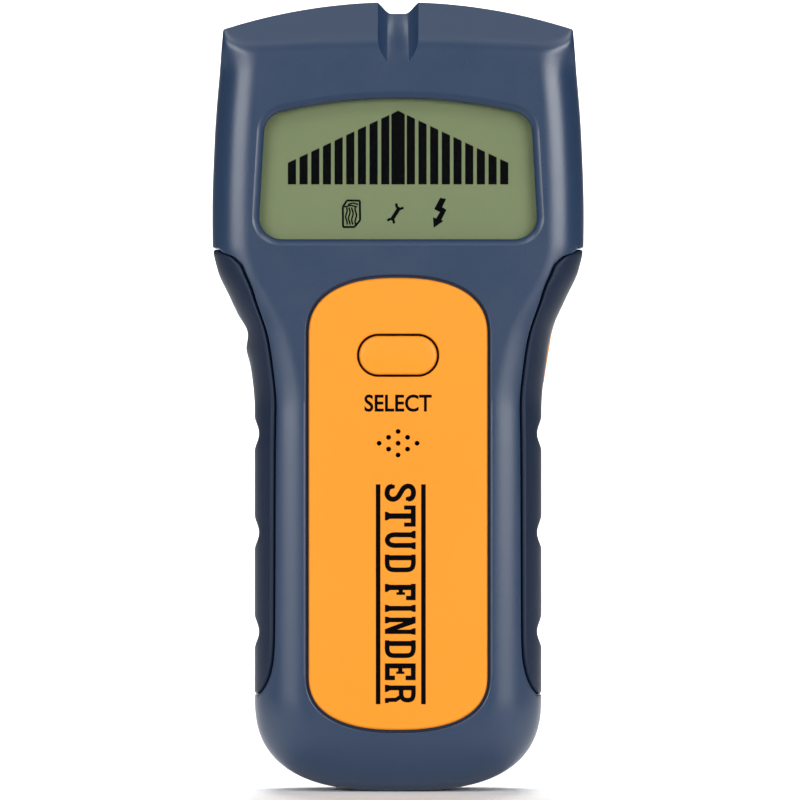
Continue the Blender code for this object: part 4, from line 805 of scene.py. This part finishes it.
def makeButtons():
    # caps: fillet at the edge, then a low crown that runs in to the pill's middle line
    top, r = panel["y"] - select["proud"], select["fillet"]
    flangeY = panel["y"] + panel["thick"] + 0.3
    steps = [(1.3, flangeY + 1.0), (1.3, flangeY), (0, flangeY), (0, top + 0.95)]
    for turn in np.linspace(10, 78, 7):
        a = math.radians(turn)
        steps.append((-r * (1 - math.cos(a)), top + 0.35 + r * (1 - math.sin(a))))
    for share in np.linspace(0.12, 1, 8):
        steps.append((-0.5 - share * (select["tall"] - 0.6), top + 0.23 + select["crown"] * (1 - share) ** 2))
    cap = loft("selectCap", carried(selectOutline, steps))
    stem = loft("selectStem", turned((0, select["z"]), ((2.0, flangeY + 0.5), (2.0, -8.8)), 32))
    shape(cap, ("UNION", stem))
    finishPiece(cap, "select_button", "button", "select_button")

    behind = -(body["sideInset"] + 0.3)
    rings = []
    flange, r = power["flange"], power["fillet"]
    steps = [(flange, behind - 1.0), (flange, behind), (0.0, behind), (0.0, power["proud"] - 0.5)]
    for turn in np.linspace(15, 75, 5):
        a = math.radians(turn)
        steps.append((-r * (1 - math.cos(a)), power["proud"] - power["crown"] - r * (1 - math.sin(a))))
    for share in np.linspace(0.15, 1, 6):
        height = power["proud"] - power["crown"] * (1 - share) ** 2
        steps.append((-0.4 - share * (power["half"] - 0.5), height))
    for grow, proud in steps:
        yz = powerOutline(grow)
        rings.append(np.stack([bodyHalf(yz[:, 1]) + proud, yz[:, 0], yz[:, 1]], 1))
    cap = loft("powerCap", rings)
    root = float(bodyHalf(power["z"])) + behind - 0.5
    stem = loft("powerStem", turned((0, power["z"]), ((1.6, 25.35), (1.6, root)), 28, "X"))
    shape(cap, ("UNION", stem))
    finishPiece(cap, "power_button", "button", "power_button")


# display
lcd = {
    "frontY": -9.5,
    "backY": -7.3,
    "barWidth": 1.7,
    "pitch": 2.435,
    "bars": 9,
    "outer": 23.0,
    "foot": 126.9,
    "outerTop": 131.8,
    "innerTop": 141.0,
    "centreWidth": 2.8,
    "peak": 142.3,
    "ink": 0.03,
}


def inked(name, outlines, y, thick):
    # flat shapes of ink: each outline carried through the ink's thickness towards -Y,
    # and each stands a hair above the one before, so that no two faces share a plane
    solids = []
    for i, outline in enumerate(outlines):
        flat = np.array(outline, float)
        front = y - thick - 0.004 * (i % 6)
        solids.append(carried(lambda grow, flat=flat: flat, ((0, y), (0, front))))
    return lofts(name, solids, 0)


def makeDisplay():
    front = faceY + display["recess"]
    steps = [(1.4, front + 2.5), (1.4, front + 1.5), (-0.25, front + 1.5), (-0.25, front + 0.3)]
    for a in np.radians((30, 60, 90)):
        steps.append((-0.25 - 0.3 * (1 - math.cos(a)), front + 0.3 * (1 - math.sin(a))))
    lens = loft("displayLens", carried(displayOutline, steps))
    finishPiece(evenNormals(lens), "casing", "window", "display_window")
    half, low, high = display["half"] + 0.9, display["foot"] - 0.9, display["sideTop"] + display["rise"] + 0.9
    outline = growingBar(half, low, high, 0.4, 4, 0.0, False)
    steps = ((0, lcd["backY"]), (0, lcd["frontY"] + 0.2), (-0.2, lcd["frontY"]))
    finishPiece(loft("lcdPane", carried(outline, steps)), "casing", "lcd", "lcd_glass")

    bars = []
    foot, c, peak = lcd["foot"], lcd["centreWidth"] / 2, lcd["peak"]
    slope = (lcd["innerTop"] - lcd["outerTop"]) / (lcd["pitch"] * (lcd["bars"] - 1))
    for i in range(lcd["bars"]):
        right = lcd["outer"] - i * lcd["pitch"]
        left = right - lcd["barWidth"]
        top = lcd["outerTop"] + slope * i * lcd["pitch"]
        lift = slope * lcd["barWidth"] / 2
        bar = np.array([(right, foot), (right, top - lift), (left, top + lift), (left, foot)])
        bars += [bar * (-1, 1), bar]
    bars.append([(c, foot), (c, peak - 0.75), (0, peak), (-c, peak - 0.75), (-c, foot)])
    y = lcd["frontY"] - 0.02
    finishPiece(inked("lcdBars", bars, y, lcd["ink"]), "casing", "black_plastic")
    finishPiece(inked("lcdIcons", lcdIcons(), y, lcd["ink"]), "casing", "black_plastic")
    print("display done")


def stroke(points, width):
    # a bent bar: the path's two sides, offset by half the width along mitred normals
    p = np.array(points, float)
    along = np.gradient(p, axis=0)
    along /= np.linalg.norm(along, axis=1)[:, None]
    normal = np.stack([-along[:, 1], along[:, 0]], 1) * width / 2
    return np.concatenate([p + normal, (p - normal)[::-1]])


iconSpots = {"timber": (-9.73, 120.8), "spanner": (-0.48, 120.75), "bolt": (8.69, 121.0)}


def lcdIcons():
    found = []
    # a squared block of timber with grain
    cx, cz = iconSpots["timber"]
    box = np.array([(-1.8, 1.4), (-0.95, 2.75), (1.75, 2.7), (1.8, -1.4), (0.6, -2.8), (-1.75, -2.8)])
    box = box + (cx, cz)
    for a, b in zip(box, np.roll(box, -1, 0)):
        found.append(stroke([a, (a + b) / 2, b], 0.42))
    t = np.linspace(-2.3, 1.3, 16)
    for x, shift in ((-1.05, 0.0), (-0.45, 0.8), (0.2, 1.6), (0.9, 2.4)):
        found.append(stroke(np.stack([cx + x + 0.15 * np.sin(t * 2.4 + shift), cz + t], 1), 0.32))
    for x, z, wide in ((-0.15, 1.55, 1.5), (0.35, 2.05, 1.2)):
        bend = np.linspace(-1, 1, 9)
        found.append(stroke(np.stack([cx + x + bend * wide * 0.9, cz + z + 0.14 * np.cos(bend * 3)], 1), 0.3))
    # an open-ended spanner
    cx, cz = iconSpots["spanner"]
    for points, width in (
        ([(-0.8, -1.15), (-0.05, 0.0), (0.7, 1.2)], 0.8),
        ([(0.12, 2.2), (0.15, 1.6), (0.5, 1.2), (1.05, 1.05), (1.6, 1.3)], 0.52),
        ([(-1.75, -1.4), (-1.25, -1.1), (-0.75, -1.1), (-0.45, -1.4), (-0.38, -2.0)], 0.52),
    ):
        found.append(stroke(np.array(points) + (cx, cz), width))
    # a live-wire bolt that ends in an arrow
    cx, cz = iconSpots["bolt"]
    bolt = [(0.1, 3.1), (1.35, 2.85), (0.5, 1.15), (1.4, 0.6), (0.35, -1.5), (0.75, -1.75)]
    bolt += [(-1.25, -3.15), (-1.4, -0.95), (-0.75, -1.2), (0.05, 0.1), (-1.15, 0.75)]
    found.append([(cx + x, cz + z) for x, z in bolt])
    return found


# lettering
lettering = {
    "thick": 0.03,
    "selectZ": 81.25,
    "selectWidth": 14.0,
    "selectHeight": 3.6,
    "nameTop": 64.36,
    "nameLow": 18.6,
    "nameFoot": -2.74,
    "capHeight": 6.4,
    "ruleWidth": 0.95,
    "rules": (-4.15, 5.28),
    "name": (
        *(("S", 64.46), ("T", 59.95), ("U", 54.7), ("D", 49.75)),
        *(("F", 43.65), ("I", 39.3), ("N", 36.82), ("D", 31.91), ("E", 27.2), ("R", 22.65)),
    ),
}


def wordMesh(name, text, width, height, bold):
    # the built-in face as a mesh, scaled to this width and height, centred on the origin in X and Z
    curve = bpy.data.curves.new(name, "FONT")
    curve.body = text
    curve.offset = bold
    curve.extrude = 0.01
    curve.resolution_u = 6
    holder = bpy.data.objects.new(name, curve)
    bpy.context.scene.collection.objects.link(holder)
    bpy.context.view_layer.update()
    mesh = bpy.data.meshes.new_from_object(holder.evaluated_get(bpy.context.evaluated_depsgraph_get()))
    bpy.data.objects.remove(holder)
    made = bpy.data.objects.new(name, mesh)
    bpy.context.scene.collection.objects.link(made)
    co = np.zeros(len(mesh.vertices) * 3)
    mesh.vertices.foreach_get("co", co)
    co = co.reshape(-1, 3)
    low, high = co.min(0), co.max(0)
    co = (co - (low + high) / 2) / (high - low)
    flat = np.stack([co[:, 0] * width, -co[:, 2] * lettering["thick"], co[:, 1] * height], 1)
    return made, flat


def setPoints(made, points):
    made.data.vertices.foreach_set("co", (points * mm).ravel())
    made.data.update()
    return made


def flowing(points, count):
    # Catmull-Rom spline through the points
    p = np.array(points, float)
    p = np.concatenate([[2 * p[0] - p[1]], p, [2 * p[-1] - p[-2]]])
    spans = []
    for a, b, c, d in zip(p, p[1:], p[2:], p[3:]):
        t = np.linspace(0, 1, max(count // (len(p) - 3), 3), endpoint=False)[:, None]
        square, cube = 2 * a - 5 * b + 4 * c - d, 3 * b - a - 3 * c + d
        spans.append(0.5 * (2 * b + (c - a) * t + square * t**2 + cube * t**3))
    return np.concatenate(spans + [p[-2:-1]])


def block(left, low, right, high):
    return [(left, low), (right, low), (right, high), (left, high)]


def slab(left, right, stemLeft, stemRight, at, up):
    # a serif whose ends slope in to its stem: at is its outer line and up its direction
    edge, inner = at + 0.45 * up, at + 1.05 * up
    return [(left, at), (right, at), (right, edge), (stemRight, inner), (stemLeft, inner), (left, edge)]


def slabLetters():
    # condensed slab-serif capitals as strokes and blocks, each from its lower left corner
    top = lettering["capHeight"]
    curveS = [(3.2, 4.75), (3.0, 5.5), (2.3, 5.9), (1.4, 5.9), (0.65, 5.45), (0.5, 4.6), (0.95, 3.85)]
    curveS += [(1.9, 3.25), (2.8, 2.65), (3.2, 1.85), (3.05, 1.05), (2.35, 0.5), (1.45, 0.5)]
    curveS += [(0.75, 0.85), (0.5, 1.65)]
    bowlD = [(0.6, top - 0.48), (1.9, top - 0.48), (2.75, top - 0.75), (3.15, top - 1.5), (3.2, top / 2)]
    bowlD += [(x, top - v) for x, v in reversed(bowlD[:-1])]
    bowlU = [(0.85, 5.9), (0.85, 3.5), (0.85, 1.8), (1.2, 0.85), (1.95, 0.5)]
    bowlU += [(3.9 - x, v) for x, v in reversed(bowlU[:-1])]
    bowlR = [(0.6, top - 0.48), (2.1, top - 0.48), (2.95, top - 0.8), (3.2, 4.7), (2.95, 3.8), (2.1, 3.4)]
    bowlR += [(0.6, 3.4)]
    letters = {}
    letters["S"] = [stroke(flowing(curveS, 90), 1.05), block(2.75, 4.35, 3.5, 4.9)]
    letters["S"] += [block(0.2, 1.5, 0.95, 2.05)]
    letters["T"] = [block(1.63, 0, 2.77, top), block(0, top - 1.0, 4.4, top), block(0, 4.0, 0.85, top)]
    letters["T"] += [block(3.55, 4.0, 4.4, top), slab(1.3, 3.1, 1.63, 2.77, 0, 1)]
    letters["U"] = [stroke(flowing(bowlU, 60), 1.02), slab(0, 1.6, 0.34, 1.36, top, -1)]
    letters["U"] += [slab(2.4, 3.85, 2.54, 3.56, top, -1)]
    letters["D"] = [block(0.15, 0, 1.2, top), stroke(flowing(bowlD, 60), 0.98), block(0, 0, 1.0, 0.9)]
    letters["D"] += [block(0, top - 0.9, 1.0, top)]
    letters["F"] = [block(0.2, 0, 1.3, top), block(0.2, top - 1.0, 3.4, top), block(2.5, 4.4, 3.4, top)]
    letters["F"] += [block(0.2, 2.85, 2.3, 3.75), block(1.75, 2.4, 2.3, 4.2), slab(0, 1.7, 0.2, 1.3, 0, 1)]
    letters["F"] += [block(0, top - 1, 0.5, top)]
    letters["I"] = [block(0.25, 0, 1.25, top), slab(0, 1.5, 0.25, 1.25, 0, 1)]
    letters["I"] += [slab(0, 1.5, 0.25, 1.25, top, -1)]
    letters["N"] = [block(0.2, 0, 1.15, top), block(2.7, 0, 3.6, top)]
    letters["N"] += [[(0.2, top), (1.35, top), (3.6, 0.0), (2.6, 0.0)], slab(0, 1.4, 0.2, 1.15, 0, 1)]
    letters["N"] += [slab(2.4, 3.75, 2.7, 3.6, top, -1), block(0, top - 0.8, 0.8, top)]
    letters["E"] = [block(0.1, 0, 1.15, top), block(0.1, 0, 3.6, 1.0), block(0.1, top - 1.0, 3.6, top)]
    letters["E"] += [block(2.65, 0, 3.6, 2.1), block(2.65, top - 2.1, 3.6, top), block(0.1, 2.75, 2.3, 3.65)]
    letters["E"] += [block(1.8, 2.35, 2.3, 4.05)]
    letters["R"] = [block(0.15, 0, 1.15, top), stroke(flowing(bowlR, 50), 0.95)]
    letters["R"] += [[(1.9, 3.4), (2.9, 3.4), (3.55, 2.4), (3.6, 0), (2.75, 0), (2.7, 2.2)]]
    letters["R"] += [slab(0, 1.5, 0.15, 1.15, 0, 1), block(2.75, 0, 3.8, 0.75)]
    return letters


def makeLettering():
    wide, tall = lettering["selectWidth"], lettering["selectHeight"]
    made, flat = wordMesh("selectWord", "SELECT", wide, tall, 0.02)
    flat += (0, panel["y"] - lettering["thick"] / 2, lettering["selectZ"])
    finishPiece(setPoints(made, flat), "casing", "black_plastic")
    # the name reads down the panel, each letter's top to the right
    letters, found = slabLetters(), []
    for letter, z in lettering["name"]:
        for outline in letters[letter]:
            outline = np.array(outline, float)
            found.append(np.stack([lettering["nameFoot"] + outline[:, 1], z - outline[:, 0]], 1))
    y, thick = panel["y"] - 0.005, lettering["thick"]
    finishPiece(inked("nameLetters", found, y, thick), "casing", "black_plastic")
    half, low, high = lettering["ruleWidth"] / 2, lettering["nameLow"], lettering["nameTop"]
    rules = [block(x - half, low, x + half, high) for x in lettering["rules"]]
    finishPiece(inked("nameRules", rules, y, thick), "casing", "black_plastic")
    print("lettering done")


# a dark ring in the gap round the select button, painted shade: its gap to the button, then its front and
# back y
gapShade = {"gap": 0.06, "frontY": -13.35, "backY": -12.6}


def makeGapShadeRing():
    # dark ring low in the gap round the select button: painted shade that darkens the gap
    inner = carried(selectOutline, ((gapShade["gap"], gapShade["backY"]), (gapShade["gap"], gapShade["frontY"])))
    grow = select["gap"] - 0.02
    outer = carried(selectOutline, ((grow, gapShade["frontY"]), (grow, gapShade["backY"])))
    rings = [inner[0], *outer[::-1], inner[1]]
    made = loft("selectGapShade", rings, closedPath=True)
    finishPiece(made, "casing", "black_plastic")


makeFrontShell()
makeRearShell()
makeGrips()
makePanel()
makeButtons()
print("casing, panel and buttons done")
makeDisplay()
makeLettering()
makeGapShadeRing()


# door and back
def makeDoor():
    half, r, foot = door["half"], door["corner"], door["foot"]
    hingeY, hingeZ = backY - door["barrel"], door["top"] - door["barrel"]
    innerY = backY - body["wall"]
    t = np.radians(np.linspace(264, 0, 28))
    barrel = np.stack([hingeY + door["barrel"] * np.cos(t), hingeZ + door["barrel"] * np.sin(t)], 1)
    rings = []
    inside = r * np.sin(np.radians(np.linspace(90, 0, 9)))
    for x, deep in zip(inside - half + (r - 2 * inside), inside):
        z = foot + r - math.sqrt(max(r * r - deep * deep, 0))
        a = np.radians((0, 22, 45, 67, 90))
        fillet = np.stack([backY - 0.4 * (1 - np.cos(a)), z + 0.4 * (1 - np.sin(a))], 1)
        yz = np.concatenate([[(innerY, z)], barrel, fillet])
        rings.append(np.stack([np.full(len(yz), x), yz[:, 0], yz[:, 1]], 1))
    rings += [ring * (-1, 1, 1) for ring in rings[::-1]]
    made = loft("batteryDoor", rings)
    pr, reach = door["pin"], door["half"] + door["pinReach"]
    pins = loft("pins", turned((hingeY, hingeZ), ((pr, -reach), (pr, reach)), 24, "X"))
    latch = loft("latch", boxRings(-5, 5, innerY - 3, innerY + 1, foot + 0.3, foot + 1.4))
    ridges = []
    groove = ((0, backY - 0.4), (0.05, backY - 0.2), (0.16, backY), (0.3, backY + 0.2), (0.3, backY + 1))
    for i in range(5):
        z, wide = foot + 2.0 + 1.5 * i, 6.4 - 0.8 * i
        ridges.append(carried(growingBar(wide, z, z + 0.75, 0.37, 6), groove))
    shape(made, ("UNION", pins), ("UNION", latch), ("DIFFERENCE", lofts("ridges", ridges)))
    finishPiece(evenNormals(made), "battery_door", "casing", "battery_door")


def makeBackTrim():
    top = backY + 0.5
    steps = [(0, top - 0.9), (0, top - 0.3)]
    for a in np.radians((30, 60, 90)):
        steps.append((-0.3 * (1 - math.cos(a)), top - 0.3 * (1 - math.sin(a))))
    for (half, low, high, cx), side in zip(glides, ("top", "left", "right")):
        made = loft(side + "Glide", carried(growingBar(half, low, high, 1.2, 8, cx), steps))
        finishPiece(made, "casing", "felt", side + "_glide")
    steps = ((0, backY - 0.12), (0, backY - 0.03), (-0.03, backY))
    outline = growingBar(label["half"], label["low"], label["high"], 2.0, 10, 0.0, False)
    finishPiece(loft("backLabel", carried(outline, steps)), "casing", "label", "back_label")


makeDoor()
makeBackTrim()
print("door and back done")


# materials
class Wire:  # one socket of a node tree, so that shader maths reads as Python
    def __init__(self, tree, socket=None):
        self.tree = tree
        self.socket = socket

    def node(self, kind, settings=None, sockets=None, output=0):
        # settings come first, then what feeds the sockets
        made = self.tree.nodes.new("ShaderNode" + kind)
        for key, value in (settings or {}).items():
            setattr(made, key, value)
        for key, value in (sockets or {}).items():
            if isinstance(value, Wire):
                self.tree.links.new(value.socket, made.inputs[key])
            else:
                made.inputs[key].default_value = value
        return Wire(self.tree, made.outputs[output])

    def maths(self, operation, *values):
        return self.node("Math", {"operation": operation}, dict(enumerate(values)))

    def __add__(self, other):
        return self.maths("ADD", self, other)

    def __radd__(self, other):
        return self.maths("ADD", other, self)

    def __sub__(self, other):
        return self.maths("SUBTRACT", self, other)

    def __rsub__(self, other):
        return self.maths("SUBTRACT", other, self)

    def __mul__(self, other):
        return self.maths("MULTIPLY", self, other)

    def __rmul__(self, other):
        return self.maths("MULTIPLY", other, self)

    def above(self, edge, softness):
        # 0 below the edge, 1 above it, smooth over the softness
        ends = {0: self, 1: edge - softness, 2: edge + softness}
        return self.node("MapRange", {"interpolation_type": "SMOOTHSTEP"}, ends)

    def blend(self, low, high):
        # this value mixes two colours
        return self.node("Mix", {"data_type": "RGBA"}, {0: self, 6: low, 7: high}, 2)


def colour(hexCode):
    # sRGB hex to linear RGBA
    parts = [int(hexCode[i : i + 2], 16) / 255 for i in (0, 2, 4)]
    return (*[c / 12.92 if c <= 0.04045 else ((c + 0.055) / 1.055) ** 2.4 for c in parts], 1.0)


def startMaterial(name):
    material = bpy.data.materials.new(name)
    material.use_nodes = True
    tree = material.node_tree
    shader = tree.nodes["Principled BSDF"]
    place = Wire(tree).node("TexCoord", output=3)
    return material, tree, shader, place


def noise(place, scale, detail=2.0, rough=0.5):
    return place.node("TexNoise", {}, {"Vector": place, "Scale": scale, "Detail": detail, "Roughness": rough})


def feed(tree, shader, **values):
    for key, value in values.items():
        target = shader.inputs[key.replace("_", " ")]
        if isinstance(value, Wire):
            tree.links.new(value.socket, target)
        else:
            target.default_value = value


def bump(height, strength, distance):
    return height.node("Bump", {}, {"Strength": strength, "Distance": distance, "Height": height})


def mouldedPlastic(name, base, tint, rough, grain, grainSize=2600, gloss=0.5):
    # spark-eroded moulding texture, faint flow marks in the colour and handling marks in the gloss
    material, tree, shader, place = startMaterial(name)
    flow = noise(place, 22, 3).above(0.5, 0.28)
    fine = noise(place, grainSize, 2, 0.6)
    marks = noise(place, 60, 4, 0.6)
    colours = (flow * 0.5 + fine * 0.5).blend(base, tint)
    roughness = rough + (marks - 0.5) * 0.12 + (fine - 0.5) * 0.08
    pits = fine + noise(place, grainSize / 4, 2) * 0.6
    feed(tree, shader, Base_Color=colours, Roughness=roughness, Normal=bump(pits, grain, 0.00004))
    feed(tree, shader, Specular_IOR_Level=gloss)
    return material


# two linear colours, then roughness, depth of grain, size of grain and gloss
plastics = {
    "casing": ("casingPlastic", (0.0095, 0.0285, 0.072, 1), (0.0125, 0.033, 0.079, 1), 0.31, 0.3, 2600, 0.6),
    "grip": ("gripRubber", (0.0044, 0.0122, 0.033, 1), (0.0058, 0.0146, 0.0375, 1), 0.42, 0.5, 1900, 0.25),
    "panel": ("panelPlastic", (0.765, 0.249, 0.006, 1), (0.795, 0.266, 0.008, 1), 0.45, 0.2, 3000, 0.35),
    "button": ("buttonPlastic", (0.765, 0.257, 0.007, 1), (0.795, 0.274, 0.009, 1), 0.38, 0.15, 3400, 0.4),
    "black_plastic": (
        *("inkBlack", (0.0009, 0.001, 0.0016, 1), (0.0015, 0.0015, 0.0022, 1)),
        *(0.6, 0.05, 3000, 0.02),
    ),
}
materials = {key: mouldedPlastic(*values) for key, values in plastics.items()}


def lcdMaterial():
    # green reflector seen through the polariser: faint mottling, and painted shade that darkens it towards
    # the top, so it is lighter towards the foot
    material, tree, shader, place = startMaterial("lcdGreen")
    z = place.node("SeparateXYZ", {}, {0: place}, 2)
    # painted shade: 0 at the top of the pane, 1 at its foot, so the colour darkens towards the top as if
    # shaded by the window's rim
    lift = z.node("MapRange", {}, {0: z, 1: 0.147, 2: 0.114, 3: 0.0, 4: 1.0})
    mottle = noise(place, 900, 3)
    colours = (lift * 0.75 + mottle * 0.25).blend((0.150, 0.192, 0.084, 1), (0.178, 0.224, 0.105, 1))
    feed(tree, shader, Base_Color=colours, Roughness=0.32 + mottle * 0.06)
    feed(tree, shader, Coat_Weight=0.4, Coat_Roughness=0.08, Normal=bump(mottle, 0.1, 0.00001))
    return material


def lensMaterial():
    # clear moulded window: transparent with a thin film of gloss and a few dust motes
    material, tree, shader, place = startMaterial("lensClear")
    motes = noise(place, 420, 3).above(0.78, 0.03)
    feed(tree, shader, Base_Color=(0.01, 0.012, 0.01, 1), Roughness=0.05 + motes * 0.1)
    feed(tree, shader, Alpha=0.04 + motes * 0.02, IOR=1.3)
    return material


def feltMaterial():
    material, tree, shader, place = startMaterial("gliderFelt")
    fibres = noise(place, 1500, 5, 0.75)
    clumps = noise(place, 380, 3)
    colours = (fibres * 0.7 + clumps * 0.3).blend(colour("17181b"), colour("3a3c41"))
    feed(tree, shader, Base_Color=colours, Roughness=0.92, Sheen_Weight=0.4)
    feed(tree, shader, Normal=bump(fibres + clumps * 0.5, 0.8, 0.00012))
    return material


def labelMaterial():
    # blank silver film with a darker printed border
    material, tree, shader, place = startMaterial("labelFilm")
    x = place.node("SeparateXYZ", {}, {0: place}, 0)
    z = place.node("SeparateXYZ", {}, {0: place}, 2)
    brush = place.node("Mapping", {}, {"Vector": place, "Scale": (40, 1, 3200)})
    lines = noise(brush, 1.0, 3)
    across = x.maths("GREATER_THAN", x.maths("ABSOLUTE", x), 0.0203)
    along = z.maths("GREATER_THAN", z.maths("ABSOLUTE", z - 0.1005), 0.0113)
    border = x.maths("MAXIMUM", across, along)
    colours = border.blend(colour("b9bcc0"), colour("3c4350"))
    feed(tree, shader, Base_Color=colours, Roughness=0.34 + lines * 0.12, Metallic=0.25)
    feed(tree, shader, Normal=bump(lines, 0.08, 0.00002))
    return material


def metalMaterial(name, base, rough):
    material, tree, shader, place = startMaterial(name)
    marks = noise(place, 700, 4, 0.6)
    light = tuple(min(1, c * 1.25) for c in base)
    feed(tree, shader, Base_Color=marks.blend(base, light), Metallic=1.0)
    feed(tree, shader, Roughness=rough + (marks - 0.5) * 0.2, Normal=bump(marks, 0.1, 0.00003))
    return material


def boardMaterial():
    # solder mask over copper tracks: rows of tracks show as a lighter green
    material, tree, shader, place = startMaterial("boardMask")
    x = place.node("SeparateXYZ", {}, {0: place}, 0)
    z = place.node("SeparateXYZ", {}, {0: place}, 2)
    bend = noise(place, 30, 1)
    rows = bend.maths("SINE", x * 900 + bend * 9).above(0.55, 0.1)
    columns = bend.maths("SINE", z * 700 + bend * 11).above(0.6, 0.1)
    tracks = rows.maths("MAXIMUM", rows, columns)
    colours = tracks.blend(colour("0d4a24"), colour("1a6a36"))
    feed(tree, shader, Base_Color=colours, Roughness=0.35 + tracks * 0.08, Normal=bump(tracks, 0.3, 0.00003))
    return material


materials.update(
    lcd=lcdMaterial(),
    window=lensMaterial(),
    felt=feltMaterial(),
    label=labelMaterial(),
    board=boardMaterial(),
    steel=metalMaterial("platedSteel", colour("a9acb0"), 0.32),
    copper=metalMaterial("copperFoil", colour("b5703f"), 0.36),
    cream_plastic=mouldedPlastic("creamPlastic", colour("cfcabc"), colour("d8d4c8"), 0.45, 0.2),
    nylon=mouldedPlastic("nylonWhite", colour("dedbd0"), colour("e6e3da"), 0.5, 0.2),
    strip_rubber=mouldedPlastic("stripRubber", colour("b9837b"), colour("3a3434"), 0.7, 0.3, 1500),
    sleeve=mouldedPlastic("capacitorSleeve", colour("182038"), colour("1d2744"), 0.3, 0.1),
    battery_case=mouldedPlastic("batteryWrap", colour("1b1c20"), colour("24262b"), 0.28, 0.1),
    red_wire=mouldedPlastic("redWire", colour("b0121a"), colour("c01c22"), 0.4, 0.2),
    black_wire=mouldedPlastic("blackWire", colour("141416"), colour("1b1b1e"), 0.4, 0.2),
    foam=mouldedPlastic("doorFoam", colour("1a1b1e"), colour("2e3035"), 0.95, 1.0, 1400),
)
slots = {row["node"]: row["material_slot"] for row in frame["record"]["subparts"]}
for name, node in frame["nodes"].items():
    node.data.materials.clear()
    node.data.materials.append(materials[slots[name]])
for piece in pieces.values():
    piece.data.materials.clear()
    piece.data.materials.append(materials[piece["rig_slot"]])
print("materials done:", len(materials))

# floor, lights and camera
studio = {"lens": 321.4, "distance": 1500.0, "height": 81.9, "side": 0.4, "world": 0.17}
# each lamp's place, what it points at and its two sides in metres, then its power in watts
lamps = {
    "leftBox": ((-0.68, -1.12, 0.31), (0, 0, 0.14), (0.72, 0.42), 7.3),
    "rightBox": ((0.68, -1.12, 0.31), (0, 0, 0.14), (0.72, 0.42), 9.1),
    "leftKey": ((-0.56, -0.93, 1.0), (0, 0, 0.1), (0.5, 0.4), 3.1),
    "rightKey": ((0.56, -0.93, 1.0), (0, 0, 0.1), (0.5, 0.4), 3.1),
    "topBox": ((0.0, -0.78, 1.12), (0, 0, 0.12), (1.0, 0.4), 1.6),
    "floorBox": ((0.0, 0.62, 0.9), (0, 0.62, 0.0), (0.7, 0.6), 12.5),
    "wallBox": ((0.0, 0.9, 1.3), (0, 1.6, 0.25), (0.9, 0.3), 15),
}


def makeBackdrop():
    # one sheet: flat under the object, then a quarter circle up behind it
    reach, depth, radius, wide = 1.6, 1.1, 0.5, 2.6
    a = np.radians(np.linspace(0, 90, 24))
    y = np.concatenate([[-reach], depth + radius * np.sin(a), [depth + radius]])
    z = np.concatenate([[0], radius * (1 - np.cos(a)), [2.6]])
    x = np.array([-wide, wide])
    points = np.stack([np.repeat(x, len(y)), np.tile(y, 2), np.tile(z, 2)], 1)
    n = len(y)
    faces = [(i, i + 1, n + i + 1, n + i) for i in range(n - 1)]
    mesh = bpy.data.meshes.new("backdrop")
    mesh.from_pydata(points.tolist(), [], faces)
    mesh.shade_smooth()
    made = bpy.data.objects.new("backdrop", mesh)
    bpy.context.scene.collection.objects.link(made)
    material, tree, shader, place = startMaterial("backdropPaper")
    # white behind the object, falling to grey in front of it and towards the far sides: painted shade on the
    # paper where the studio round the object would lie unlit
    y = place.node("SeparateXYZ", {}, {0: place}, 1)
    x = place.node("SeparateXYZ", {}, {0: place}, 0)
    side = x.maths("ABSOLUTE", x).above(0.6, 0.3)
    outsidePaintedShade = y.above(-0.08, 0.07) * (1 - side)
    colours = outsidePaintedShade.blend((0.38, 0.38, 0.38, 1), (0.93, 0.93, 0.93, 1))
    feed(tree, shader, Base_Color=colours, Roughness=0.9)
    mesh.materials.append(material)


def areaLight(name, place, aim, size, energy):
    lamp = bpy.data.lights.new(name, "AREA")
    lamp.shape = "RECTANGLE"
    lamp.size, lamp.size_y = size
    lamp.energy = energy
    made = bpy.data.objects.new(name, lamp)
    made.location = place
    made.rotation_euler = (Vector(aim) - Vector(place)).to_track_quat("-Z", "Y").to_euler()
    bpy.context.scene.collection.objects.link(made)


makeBackdrop()
for name, values in lamps.items():
    areaLight(name, *values)

world = bpy.data.worlds.new("studioWorld")
bpy.context.scene.world = world
world.use_nodes = True
background = world.node_tree.nodes["Background"]
background.inputs["Color"].default_value = (1, 1, 1, 1)
background.inputs["Strength"].default_value = studio["world"]

camera = bpy.data.objects.new("camera", bpy.data.cameras.new("camera"))
camera.data.lens = studio["lens"]
camera.data.sensor_width = 36
camera.location = (studio["side"] * mm, -studio["distance"] * mm, studio["height"] * mm)
camera.rotation_euler = (math.pi / 2, 0, 0)
camera.data.clip_start, camera.data.clip_end = 0.01, 50
bpy.context.scene.collection.objects.link(camera)
bpy.context.scene.camera = camera
bpy.context.scene.view_settings.view_transform = "Standard"
